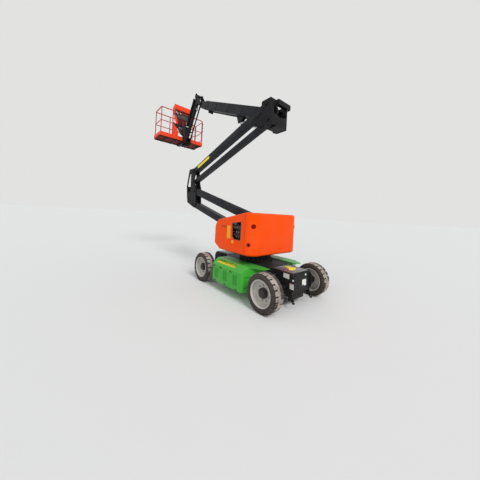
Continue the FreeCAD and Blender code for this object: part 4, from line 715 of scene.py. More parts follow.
class MakePodFittings(bpy.types.Operator):
    """Make the pods' louvre blades, latches, edge trims, screws and blank labels"""
    bl_idname = "boomlift.pod_fittings"
    bl_label = "Pod fittings"

    def execute(self, context):
        blades = Form()
        for group_x in (-330.0, 10.0, 330.0):
            for column in (-38.0, 38.0):
                for i in range(9):
                    x, z = group_x + column, 295 + i * 24.0
                    blades.plate([(x - 30, z + 8), (x + 30, z + 8), (x + 30, z + 13), (x - 30, z + 13)], 897, 906, 0.001)
                    blades.block((x - 31, 899, z - 1), (x - 28, 905, z + 12), 0.0006)
                    blades.block((x + 28, 899, z - 1), (x + 31, 905, z + 12), 0.0006)
        blades.mirror_y()
        blades.make("pod_louvres", "pod_paint", "chassis")

        latches = Form()
        for x in (-180.0, 180.0, 430.0):
            latches.block((x - 22, 900, 520), (x + 22, 909, 556), 0.003)
            latches.drum((x, 909, 538), (x, 914, 538), 12, segments=24)
            latches.block((x - 9, 913, 535), (x + 9, 917, 541), 0.001)
        for x in (-380.0, 0.0, 380.0):
            latches.block((x - 30, 896, 216), (x + 30, 906, 232), 0.002)
            latches.drum((x - 34, 908, 224), (x + 34, 908, 224), 6, segments=16)
        latches.mirror_y()
        latches.make("pod_latches", "black_plastic", "chassis")

        trim = Form()
        trim.block((-515, 898, 204), (478, 903, 212), 0.001)
        trim.block((-515, 898, 556), (478, 903, 562), 0.001)
        trim.block((-515, 898, 204), (-507, 903, 562), 0.001)
        trim.block((470, 898, 204), (478, 903, 562), 0.001)
        for x in (-165.0, 175.0):
            trim.block((x - 2, 898, 212), (x + 2, 902.5, 556), 0.0008)
        trim.mirror_y()
        trim.make("pod_edges", "pod_paint", "chassis")

        labels = Form()
        way = Vector((0, 155, -125)).normalized()
        for x0, x1 in ((-235, 412),):
            a, b = Vector((x0, 745, 690)) + way * 28, Vector((x1, 745, 690)) + way * 28
            c, d = b + way * 96, a + way * 96
            labels.patch([tuple(p) for p in (a, b, c, d)][::-1], 1.4)
        labels.mirror_y()
        labels.make("pod_labels", "yellow_label", "chassis")
        screws = Form()
        for x in (-500, -300, -100, 100, 300, 460):
            spot = Vector((x, 745, 690)) + way * 16
            screws.bolt(tuple(spot), (0, 125, 155), 11, True)
            screws.bolt((x, 901, 240), (0, 1, 0), 10, True)
        screws.mirror_y()
        screws.make("pod_screws", "plated", "chassis")
        return {"FINISHED"}


# Turret

class MakeTurretFittings(bpy.types.Operator):
    """Make the turret's window edges, vents, blank labels, weight rings, valve bank, hoses, ground controls and pin
    keepers
    """
    bl_idname = "boomlift.turret_fittings"
    bl_label = "Turret fittings"

    def execute(self, context):
        for left, side in ((1, "left"), (-1, "right")):
            body = "cover_" + side
            frame_bars = Form()
            corners = [(-275, 1186), (-62, 1184), (6, 1238), (31, 1534), (-275, 1575)]
            for (x0, z0), (x1, z1) in zip(corners, corners[1:] + corners[:1]):
                frame_bars.drum((x0, left * 757, z0), (x1, left * 757, z1), 5, segments=12, bevel=0)
            frame_bars.make("window_edge_" + side, "black_plastic", body)
            vents = Form()
            for i in range(5):
                x = 250 + i * 34.0
                vents.block((x, left * 754.4, 1440), (x + 20, left * 757.4, 1466 - i * 3), 0.0008)
            vents.block((236, left * 754.6, 1425), (436, left * 756.2, 1432), 0.0005)
            vents.make("panel_vents_" + side, "black_plastic", body)
            label = Form()
            order = -1 if left > 0 else 1
            label.patch([(75, left * 757.3, 1185), (210, left * 757.3, 1185), (200, left * 757.3, 1470),
                         (80, left * 757.3, 1475)][::order], 1.0)
            label.patch([(-50, left * 757.3, 1095), (25, left * 757.3, 1095), (25, left * 757.3, 1160),
                         (-50, left * 757.3, 1160)][::order], 1.0)
            label.make("cover_labels_" + side, "amber_label", body)

        weight = Form()
        for left in (1, -1):
            weight.ring((-572, left * 675, 1500), (-0.766, left * 0.643, 0), 43, 5, 48, 8)
            weight.ring((-501, left * 731, 1121), (-0.46, left * 0.888, 0), 37, 5, 48, 8)
        weight.make("weight_fittings", "steel_paint", "turret")

        works = Form()
        for x in (-240, -170, -100, -30):
            works.block((x - 26, 640, 1250), (x + 26, 690, 1330), 0.004)
            works.drum((x, 690, 1290), (x, 735, 1290), 18, segments=20)
            works.drum((x, 735, 1290), (x, 742, 1290), 9, segments=16)
        works.block((-275, 600, 1235), (10, 644, 1345), 0.004)
        works.block((-310, 588, 1150), (70, 594, 1610), 0.001)
        works.block((-310, -466, 1150), (70, -460, 1610), 0.001)
        works.drum((-230, 690, 1450), (40, 690, 1450), 45, segments=32, bevel=0.004)
        works.drum((-250, 690, 1450), (-230, 690, 1450), 36, segments=32)
        works.drum((-120, 690, 1495), (-120, 690, 1520), 16, segments=20)
        works.make("valve_bank", "black_plastic", "turret")
        unions = Form()
        for x in (-240, -170, -100, -30):
            unions.drum((x, 665, 1330), (x, 665, 1352), 12, segments=6)
            unions.drum((x, 665, 1250), (x, 665, 1232), 12, segments=6)
        unions.make("valve_unions", "plated", "turret")
        radius = context.scene.boomlift_fittings.hose_radius
        for i, x in enumerate((-240, -170, -100, -30)):
            hose("valve_hose_%d" % i, [(x, 665, 1350), (x, 668, 1400), (x + 35, 700, 1430), (x + 70, 640, 1400),
                                       (x + 100, 560, 1350), (x + 110, 500, 1335)], radius, "turret")
            hose("return_hose_%d" % i, [(x, 665, 1234), (x, 680, 1180), (x + 30, 690, 1130), (x + 50, 660, 1060),
                                        (x + 60, 645, 990), (x + 40, 600, 915)], radius, "turret")

        control = Form()
        control.block((-300, -560, 1000), (-60, -470, 1320), 0.008)
        for i in range(4):
            control.drum((-255 + i * 48, -560, 1250), (-255 + i * 48, -572, 1250), 9, segments=20)
            control.drum((-255 + i * 48, -572, 1250), (-255 + i * 48, -596, 1254), 3.5, segments=12)
        control.make("ground_controls", "black_plastic", "turret")
        stop = Form()
        stop.drum((-130, -560, 1160), (-130, -578, 1160), 12, segments=24)
        stop.drum((-130, -578, 1160), (-130, -592, 1160), 21, segments=32, bevel=0.004)
        stop.make("ground_stop_button", "red_plastic", "turret")

        pins = Form()
        for x, z in ((-270, 1585), (-190, 1162)):
            pin_keeper(pins, x, z, 291, 1, 28)
            pin_keeper(pins, x, z, 64, -1, 28)
        for i in range(5):
            pins.bolt((-360, 110 + i * 30, 1645), (-1, 0, 0), 14) if i in (0, 4) else None
        pins.make("turret_pin_keepers", "steel_paint", "turret")
        return {"FINISHED"}


def pin_keeper(form, x, z, y, side, radius, out=5.0):
    """A pin's end washer, its keeper bar, a bolt and a ring about the pin."""
    form.drum((x, y, z), (x, y + side * out, z), radius + 9, segments=36)
    form.drum((x, y + side * out, z), (x, y + side * (out + 2), z), radius - 6, segments=36)
    form.block((x - radius - 26, min(y, y + side * out), z - 9), (x - radius - 2, max(y, y + side * out), z + 9), 0.0015)
    form.bolt((x - radius - 17, y + side * out, z), (0, side, 0), 11)
    form.ring((x, y + side * 0.5, z), (0, 1, 0), radius + 13, 2.2, 40, 6)


def line_point(start, way, distance, aside=0.0):
    """A point in x and z along a way, and aside to its left."""
    length = math.hypot(*way)
    ux, uz = way[0] / length, way[1] / length
    return (start[0] + ux * distance - uz * aside, start[1] + uz * distance + ux * aside)


# Riser

LOWER_LOW, LOWER_WAY = (-270.0, 1585.0), (3120.0, 859.0)
LOWER_LINK_LOW = (-190.0, 1162.0)
UPPER_LOW, UPPER_WAY = (3020.0, 3139.0), (-3370.0, 1063.0)
UPPER_LINK_LOW = (2960.0, 2770.0)
LOWER_LENGTH, UPPER_LENGTH = math.hypot(*LOWER_WAY), math.hypot(*UPPER_WAY)


class MakeRiserFittings(bpy.types.Operator):
    """Make the riser's boss rings, pin keepers, hoses and blank labels"""
    bl_idname = "boomlift.riser_fittings"
    bl_label = "Riser fittings"

    def execute(self, context):
        settings = context.scene.boomlift_fittings
        tubes = (("lower_riser_arm", LOWER_LOW, LOWER_WAY, LOWER_LENGTH, 185, 85, 262, 62),
                 ("lower_riser_link", LOWER_LINK_LOW, LOWER_WAY, LOWER_LENGTH, 185, 85, 262, 62),
                 ("upper_riser_arm", UPPER_LOW, UPPER_WAY, UPPER_LENGTH, 155, 85, 262, 62),
                 ("upper_riser_link", UPPER_LINK_LOW, UPPER_WAY, UPPER_LENGTH, 118, 103, 244, 54))
        for body, low, way, length, depth, y0, y1, boss in tubes:
            form = Form()
            for distance in (0.0, length):
                x, z = line_point(low, way, distance)
                for y, side in ((y1, 1), (y0, -1)):
                    form.drum((x, y - side * 1, z), (x, y + side * 3.2, z), boss - 8, segments=40, bevel=0.001)
            for aside in (-depth / 2.0 + 12, depth / 2.0 - 12):
                a = line_point(low, way, 90, aside)
                b = line_point(low, way, length - 90, aside)
                for y, side in ((y1, 1), (y0, -1)):
                    form.drum((a[0], y, a[1]), (b[0], y, b[1]), 3.2, segments=8, bevel=0)
            form.make(body + "_welds", "boom_paint", body)
            ends = Form()
            for distance, fore in ((62.0, -1), (length - 62.0, 1)):
                for aside in (-depth / 2.0 - 4, depth / 2.0 + 4):
                    x, z = line_point(low, way, distance, aside)
                    ends.drum((x, y0 + 40, z), (x, y1 - 40, z), 5, segments=12, bevel=0.001)
            over = -1 if "upper" in body else 1
            for fraction in (0.25, 0.5, 0.75) if "arm" in body else ():
                x, z = line_point(low, way, length * fraction, over * (depth / 2.0 + 3))
                ends.block((x - 20, (y0 + y1) / 2 - 45, z - 6), (x + 20, (y0 + y1) / 2 + 45, z + 10), 0.002)
                ends.bolt((x, (y0 + y1) / 2 + 36, z + 10), (0, 0, 1), 10)
                ends.bolt((x, (y0 + y1) / 2 - 36, z + 10), (0, 0, 1), 10)
            ends.make(body + "_clips", "steel_paint", body)
            for i in range(settings.hose_count):
                y = (y0 + y1) / 2 + (i - (settings.hose_count - 1) / 2.0) * 24
                points = [line_point(low, way, 60 + (length - 120) * t / 6.0,
                                     over * (depth / 2.0 + 12 + (3 if t % 2 else 0))) for t in range(7)]
                if "arm" in body:
                    hose("%s_hose_%d" % (body, i), [(x, y, z) for x, z in points], settings.hose_radius, body)

        a, b = line_point(UPPER_LOW, UPPER_WAY, 330, -42), line_point(UPPER_LOW, UPPER_WAY, 1060, -42)
        c, d = line_point(UPPER_LOW, UPPER_WAY, 1060, 42), line_point(UPPER_LOW, UPPER_WAY, 330, 42)
        label = Form()
        label.patch([(x, 262.4, z) for x, z in (a, b, c, d)], 1.0)
        label.make("riser_label", "yellow_label", "upper_riser_arm")

        pins = Form()
        for x, z in ((2850, 2444), (2930, 2021), (3020, 3139), (2960, 2770)):
            pin_keeper(pins, x, z, 291, 1, 28)
            pin_keeper(pins, x, z, 64, -1, 28)
        pin_keeper(pins, 3230, 2200, 291, 1, 22)
        pin_keeper(pins, 3230, 2200, 64, -1, 22)
        for z in (2360, 2480, 2600):
            pins.bolt((3371 + (z - 2330) * 0.13, 268 - 40, z), (1, 0, -0.13), 14)
            pins.bolt((3371 + (z - 2330) * 0.13, 79 + 40, z), (1, 0, -0.13), 14)
        pins.make("mid_link_keepers", "steel_paint", "mid_link")
        edge = Form()
        rim = [(2706, 2010), (2760, 1915), (3300, 2080), (3372, 2250), (3424, 2620), (3260, 3225), (2950, 3225),
               (2852, 2760), (2745, 2500)]
        for y in (283, 64):
            for (x0, z0), (x1, z1) in zip(rim, rim[1:]):
                edge.drum((x0 * 0.985 + 45, y, z0 * 0.985 + 38), (x1 * 0.985 + 45, y, z1 * 0.985 + 38), 2.5,
                          segments=8, bevel=0)
        edge.make("mid_link_welds", "steel_paint", "mid_link")

        pins = Form()
        for x, z in ((-350, 4202), (-410, 3833)):
            pin_keeper(pins, x, z, 291, 1, 28)
            pin_keeper(pins, x, z, 64, -1, 28)
        pin_keeper(pins, -300, 4072, -291, -1, 32)
        pin_keeper(pins, -150, 3850, -291, -1, 22)
        for y, zs in ((-255, (3780, 3880)), (255, (3780, 3880, 4240, 4280))):
            for z in zs:
                pins.bolt((-505, y, z), (-1, 0, 0), 15)
        pins.make("upright_keepers", "steel_paint", "top_upright")
        for i in range(settings.hose_count):
            y = 130 + i * 28
            hose("upright_hose_%d" % i, [(-395, y, 4260), (-470, y, 4270), (-480, y - 60, 4200), (-470, y - 150, 4120),
                                         (-420, y - 190, 4075)], settings.hose_radius, "top_upright")
            y = 100 + i * 24
            hose("mid_link_hose_%d" % i, [(2900, y, 2560), (2960, y, 2590), (3050, y, 2620), (3090, y, 2680),
                                          (3080, y, 2740)], settings.hose_radius, "mid_link")
        return {"FINISHED"}


# Cylinders

CYLINDERS = (("riser", (3230.0, 2200.0), (3220.0, 3169.0), 52.0, 700.0, 173.5, "mid_link"),
             ("boom", (-150.0, 3850.0), (960.0, 4330.0), 50.0, 930.0, -76.0, "top_upright"),
             ("jib", (3511.0, 6004.0), (3711.0, 5678.0), 28.0, 320.0, -76.0, "jib_base"))


class MakeCylinderFittings(bpy.types.Operator):
    """Make the cylinders' gland rings, ports, pipes and wipers"""
    bl_idname = "boomlift.cylinder_fittings"
    bl_label = "Cylinder fittings"

    def execute(self, context):
        settings = context.scene.boomlift_fittings
        for name, base, eye, radius, mouth, y, parent in CYLINDERS:
            way = (eye[0] - base[0], eye[1] - base[1])
            body = name + "_cylinder_barrel"

            def spot(distance, aside=0.0, across=0.0):
                """A point by the cylinder; the jib's fittings stand sideways, the boom's away from the boom."""
                if name == "jib":
                    aside, across = across, aside
                elif name == "boom":
                    aside = -aside
                x, z = line_point(base, way, distance, aside)
                return (x, y + across, z)

            form = Form()
            form.drum(spot(mouth - 2), spot(mouth + 5), radius + 2, segments=40)
            for distance in (60.0 if radius > 40 else 42.0, mouth - 75):
                form.drum(spot(distance), spot(distance + 14), radius + 3.5, segments=40)
            for distance in (85.0, mouth - 95):
                form.drum(spot(distance, radius * 0.8), spot(distance, radius + 20), 13, segments=24)
            form.make(name + "_cylinder_glands", "steel_paint", body)
            ports = Form()
            for distance in (85.0, mouth - 95):
                ports.drum(spot(distance, radius + 18), spot(distance, radius + 34), 11, segments=6)
            ports.make(name + "_cylinder_ports", "plated", body)
            pipe = [spot(mouth - 95, radius + 30), spot(mouth - 120, radius + 40), spot(mouth * 0.6, radius + 12),
                    spot(mouth * 0.4, radius + 12), spot(130, radius + 14, 14), spot(100, radius + 24, 26)]
            hose(name + "_cylinder_pipe", pipe, 6 * MM, body, "plated")
            wiper = Form()
            wiper.ring(spot(mouth + 5), (way[0], 0, way[1]), radius * 0.62, 3.5, 40, 8)
            wiper.make(name + "_cylinder_wiper", "black_plastic", body)
        return {"FINISHED"}


# Boom and jib

BOOM_PIVOT = (-300.0, 4072.0)
BOOM_WAY = (math.cos(math.radians(24.2)), math.sin(math.radians(24.2)))
BOOM_Y, BOOM_HALF, BOOM_DEPTH = -76.0, 125.0, 270.0


def boom_spot(distance, aside, y):
    x, z = line_point(BOOM_PIVOT, BOOM_WAY, distance, aside)
    return (x, y, z)


def boom_turn():
    return Matrix.Rotation(-math.radians(24.2), 3, "Y")


def boom_block(form, start, end, low, high, y0, y1, bevel=0.0015):
    """A block laid along the boom, from start to end and low to high across it."""
    x0, z0 = BOOM_PIVOT
    return form.block((x0 + start, y0, z0 + low), (x0 + end, y1, z0 + high), bevel, boom_turn(), (x0, BOOM_Y, z0))


class MakeBoomFittings(bpy.types.Operator):
    """Make the boom's collar, brackets, roller, hoses and pads"""
    bl_idname = "boomlift.boom_fittings"
    bl_label = "Boom fittings"

    def execute(self, context):
        settings = context.scene.boomlift_fittings
        half, tall = BOOM_HALF, BOOM_DEPTH / 2.0
        collar = Form()
        for start, end, lift in ((3312, 3400, 5), (-120, -108, 4)):
            for low, high in ((tall, tall + lift), (-tall - lift, -tall)):
                boom_block(collar, start, end, low, high, BOOM_Y - half - lift, BOOM_Y + half + lift)
            for y0, y1 in ((BOOM_Y + half, BOOM_Y + half + lift), (BOOM_Y - half - lift, BOOM_Y - half)):
                boom_block(collar, start, end, -tall, tall, y0, y1)
        for side in (1, -1):
            for aside in (-95, 95):
                for distance in (3334, 3378):
                    collar.bolt(boom_spot(distance, aside, BOOM_Y + side * (half + 5)), (0, side, 0), 8, False)
            for across in (-80, 80):
                for distance in (3334, 3378):
                    spot = boom_spot(distance, side * (tall + 5), BOOM_Y + across)
                    collar.bolt(spot, (-BOOM_WAY[1] * side, 0, BOOM_WAY[0] * side), 13)
        for distance in (0.0,):
            for side in (1, -1):
                x, z = BOOM_PIVOT
                collar.drum((x, BOOM_Y + side * half, z), (x, BOOM_Y + side * (half + 3), z), 62, segments=44)
        collar.make("boom_collar", "boom_paint", "boom_outer")

        bracket = Form()
        for distance in (480, 1180, 1900, 2620, 3180):
            boom_block(bracket, distance, distance + 34, -tall + 30, tall - 60, BOOM_Y + half, BOOM_Y + half + 4, 0.0008)
            bracket.bolt(boom_spot(distance + 17, -tall + 44, BOOM_Y + half + 4), (0, 1, 0), 11)
            bracket.bolt(boom_spot(distance + 17, tall - 74, BOOM_Y + half + 4), (0, 1, 0), 11)
        for distance in (3070, 3160):
            boom_block(bracket, distance, distance + 10, -tall - 62, -tall, BOOM_Y - 70, BOOM_Y + 70)
        bracket.drum(boom_spot(3120, -tall - 44, BOOM_Y - 76), boom_spot(3120, -tall - 44, BOOM_Y + 76), 44, segments=40)
        bracket.make("boom_brackets", "steel_paint", "boom_outer")

        tray = Form()
        boom_block(tray, 330, 3240, -tall + 42, -tall + 46, BOOM_Y + half, BOOM_Y + half + 2.5, 0.0006)
        boom_block(tray, 330, 3240, tall - 76, tall - 72, BOOM_Y + half, BOOM_Y + half + 2.5, 0.0006)
        for aside in (-tall + 12, tall - 12):
            for y in (BOOM_Y + half, BOOM_Y - half):
                a, b = boom_spot(-60, aside, y), boom_spot(3300, aside, y)
                tray.drum(a, b, 2.6, segments=8, bevel=0)
        tray.make("boom_welds", "boom_paint", "boom_outer")
        for i in range(settings.hose_count):
            aside = -tall - 12 - (i % 2) * 4
            y = BOOM_Y - half + 25 + i * 26
            route = [boom_spot(60 + 3180 * t / 8.0, aside - (6 if 0 < t < 8 and t % 2 else 0), y) for t in range(9)]
            if i == 0:
                route = route[:1] + route[1:]
            hose("boom_hose_%d" % i, route, settings.hose_radius, "boom_outer")

        tip = Form()
        tip.block((3180, -184, 5640), (3184, -190, 5670), 0.001)
        inner_tall, inner_half = 115.0, 105.0
        for side in (1, -1):
            boom_block(tip, 3690, 3790, -inner_tall + 20, inner_tall - 20, BOOM_Y + side * inner_half - 1.5,
                       BOOM_Y + side * inner_half + 1.5, 0.0006)
            for aside in (-70, 70):
                tip.bolt(boom_spot(3705, aside, BOOM_Y + side * (inner_half + 1.5)), (0, side, 0), 13)
                tip.bolt(boom_spot(3775, aside, BOOM_Y + side * (inner_half + 1.5)), (0, side, 0), 13)
        tip.make("boom_tip_plates", "boom_paint", "boom_inner")
        return {"FINISHED"}


JIB_TOP, JIB_WAY = (3570.0, 6120.0), (850.0, -1380.0)
JIB_LINK_TOP = (3510.0, 5940.0)
JIB_LENGTH = math.hypot(*JIB_WAY)
JIB_PLATE = 126.0


class MakeJibFittings(bpy.types.Operator):
    """Make the jib's pin keepers, hoses, clamps and rotator bolts"""
    bl_idname = "boomlift.jib_fittings"
    bl_label = "Jib fittings"

    def execute(self, context):
        settings = context.scene.boomlift_fittings
        base = Form()
        for side in (1, -1):
            y = BOOM_Y + side * (JIB_PLATE + 6)
            for (x, z), radius in (((3218, 5655), 20), (JIB_TOP, 20), (JIB_LINK_TOP, 20), ((3511, 6004), 14)):
                pin_keeper(base, x, z, y, side, radius, 4.0)
        base.block((3250, BOOM_Y - 111, 5690), (3262, BOOM_Y + 111, 5760), 0.003, Matrix.Rotation(0.9, 3, "Y"))
        base.make("jib_base_keepers", "steel_paint", "jib_base")

        head = Form()
        end = line_point(JIB_TOP, JIB_WAY, JIB_LENGTH)
        link_end = line_point(JIB_LINK_TOP, JIB_WAY, JIB_LENGTH)
        for side in (1, -1):
            y = BOOM_Y + side * (JIB_PLATE + 6)
            for x, z in (end, link_end):
                pin_keeper(head, x, z, y, side, 20, 4.0)
        for z in (4520, 4780):
            head.drum((4530, BOOM_Y, z - 8), (4530, BOOM_Y, z + 8), 62, segments=40)
            for i in range(8):
                angle = math.tau * i / 8
                head.bolt((4530 + 48 * math.cos(angle), BOOM_Y + 48 * math.sin(angle), z + 8), (0, 0, 1), 8, False)
        head.make("rotator_flanges", "steel_paint", "jib_head")

        arm = Form()
        for aside in (-34, 34):
            for y in (BOOM_Y + 55, BOOM_Y - 55):
                a, b = line_point(JIB_TOP, JIB_WAY, 60, aside), line_point(JIB_TOP, JIB_WAY, JIB_LENGTH - 60, aside)
                arm.drum((a[0], y, a[1]), (b[0], y, b[1]), 2.2, segments=8, bevel=0)
        for distance in (500, 820, 1140, 1420):
            x, z = line_point(JIB_TOP, JIB_WAY, distance, 42)
            arm.drum((x, BOOM_Y - 50, z), (x, BOOM_Y + 50, z), 5, segments=12, bevel=0.001)
        arm.make("jib_arm_welds", "boom_paint", "jib_arm")
        guide = Form()
        for distance in (155, 470, 800, 1130):
            for low in (64, 100):
                corners = [line_point(JIB_TOP, JIB_WAY, distance + along, low + up)
                           for along, up in ((0, 0), (26, 0), (26, 5), (0, 5))]
                guide.plate(corners, BOOM_Y - 12, BOOM_Y + 146, 0.001)
        corners = [line_point(JIB_TOP, JIB_WAY, along, up) for along, up in ((140, 58), (1180, 58), (1180, 62), (140, 62))]
        guide.plate(corners, BOOM_Y - 14, BOOM_Y + 148, 0.001)
        guide.make("jib_hose_clamps", "steel_paint", "jib_arm")
        for i in range(settings.hose_count):
            y = BOOM_Y + (i - (settings.hose_count - 1) / 2.0) * 26
            route = [line_point(JIB_TOP, JIB_WAY, 90 + 1440 * t / 6.0, 54 + (5 if t % 2 else 0)) for t in range(7)]
            hose("jib_hose_%d" % i, [(x, y, z) for x, z in route], settings.hose_radius, "jib_arm")
        for i in range(6):
            y, rise = BOOM_Y + 4 + i * 25, 6 * (i % 2)
            route = [line_point(JIB_TOP, JIB_WAY, 150 + 1010 * t / 6.0, 84 + rise + (4 if t % 2 else 0))
                     for t in range(7)]
            hose("jib_outer_hose_%d" % i, [(x, y, z) for x, z in route], settings.hose_radius * 1.1, "jib_arm")

        link = Form()
        for side in (1, -1):
            y = BOOM_Y + side * 105
            for distance in (0, JIB_LENGTH):
                x, z = line_point(JIB_LINK_TOP, JIB_WAY, distance)
                link.drum((x, y, z), (x, y + side * 2.5, z), 32, segments=32, bevel=0.0008)
            a = line_point(JIB_LINK_TOP, JIB_WAY, 60, 26)
            b = line_point(JIB_LINK_TOP, JIB_WAY, JIB_LENGTH - 60, 26)
            link.drum((a[0], y, a[1]), (b[0], y, b[1]), 2, segments=8, bevel=0)
        link.make("jib_link_bosses", "boom_paint", "jib_link")
        return {"FINISHED"}


# Platform

P_X0, P_X1, P_HALF, P_FLOOR, P_TOP = 4687.0, 5418.0, 925.0, 4719.0, 5824.0


class MakePlatformFittings(bpy.types.Operator):
    """Make the platform's floor mesh, rail clamps, gate latch, bracket plates and toe-board bolts"""
    bl_idname = "boomlift.platform_fittings"
    bl_label = "Platform fittings"

    def execute(self, context):
        settings = context.scene.boomlift_fittings
        tread = Form()
        for i in range(12):
            for j in range(30):
                x, y = P_X0 + 45 + i * 58.0, -P_HALF + 45 + j * 62.0
                way = 1 if (i + j) % 2 else -1
                tread.block((x - 18, y - 3.2, P_FLOOR - 0.2), (x + 18, y + 3.2, P_FLOOR + 2.2), 0.0008,
                            Matrix.Rotation(way * math.pi / 4, 3, "Z"))
        tread.make("tread_bars", "platform_paint", "platform")

        clamps = Form()
        posts = [(P_X0 + 34.7, P_HALF - 34.7, 17), (P_X1 - 34.7, P_HALF - 34.7, 17), (P_X0 + 23, 439.4, 17),
                 (P_X1 - 23, 300.6, 17), (P_X1 - 23, -300.6, 17), (P_X0 + 23, -439.4, 17),
                 (P_X0 + 23, -906, 19), (P_X1 - 23, -906, 19)]
        for x, y, radius in posts:
            clamps.drum((x, y, P_FLOOR), (x, y, P_FLOOR + 10), radius + 11, segments=32)
            clamps.ring((x, y, P_FLOOR + 12), (0, 0, 1), radius + 1, 4, 32, 8)
            for z in (5290 - 17, 5290 + 17):
                clamps.ring((x, y, z), (0, 0, 1), radius, 3, 32, 8)
        clamps.make("rail_feet", "rail_paint", "platform")

        bolts = Form()
        for y in range(-850, 901, 175):
            for x, out in ((P_X0, -1), (P_X1, 1)):
                bolts.bolt((x, y, 4770), (out, 0, 0), 10)
        for x in (P_X0 + 120, P_X0 + 365, P_X0 + 610):
            bolts.bolt((x, P_HALF, 4770), (0, 1, 0), 10)
        for x in (P_X0 + 23, P_X1 - 23):
            for z in (5360, 5500, 5660):
                bolts.bolt((x, -928, z), (0, -1, 0), 14)
        bolts.make("toe_board_bolts", "plated", "platform")

        under = Form()
        for y in (-780, -420, 260, 620):
            under.block((P_X0 + 20, y - 22, 4650), (P_X1 - 20, y + 22, 4689), 0.003)
        for x in (P_X0 + 60, P_X1 - 60):
            under.block((x - 22, -P_HALF + 15, 4656), (x + 22, P_HALF - 15, 4689), 0.003)
        under.make("floor_beams", "steel_paint", "platform")
        # A sheet under the floor grating and a back sheet behind the console, both in the dark red painted shade.
        sheet = Form()
        sheet.block((P_X0 + 24, -P_HALF + 24, 4684), (P_X1 - 24, P_HALF - 24, 4688.5), 0.001)
        sheet.block((P_X0 + 40, -150, 5300), (P_X0 + 45, 246, 5560), 0.001)
        sheet.make("painted_shade_sheets", "shaded_paint", "platform")

        bracket = Form()
        bracket.plate([(4560, 4830), (4657, 4830), (4657, 4895)], BOOM_Y - 30, BOOM_Y + 30, 0.003)
        for y, z in ((-250, 5282), (-90, 5282), (70, 5282), (230, 5282), (390, 5282), (-195, 5110), (225, 5110)):
            bracket.bolt((4668.7, y, z), (-1, 0, 0), 15)
        for z in (4470, 4520, 4580, 4810, 4850):
            for side in (1, -1):
                bracket.bolt((4657, BOOM_Y + side * 62, z), (-1, 0, 0), 13)
        bracket.make("bracket_plates", "steel_paint", "platform")

        gate = Form()
        gate.block((4745, -935, 5560), (4790, -918, 5640), 0.003)
        gate.drum((4767, -935, 5600), (4767, -948, 5600), 12, segments=24)
        gate.block((4741, -922, 5290 - 40), (4753, -890, 5290 + 40), 0.002)
        gate.make("gate_latch", "black_plastic", "platform_gate")
        collars = Form()
        for x in (P_X0 + 23, P_X1 - 23):
            for z in (5360, 5500, 5660):
                collars.drum((x, -906, z - 24), (x, -906, z + 24), 23.5, segments=32)
                collars.block((x - 14, -932, z - 16), (x + 14, -924, z + 16), 0.002)
        collars.make("gate_post_collars", "steel_paint", "platform")
        return {"FINISHED"}


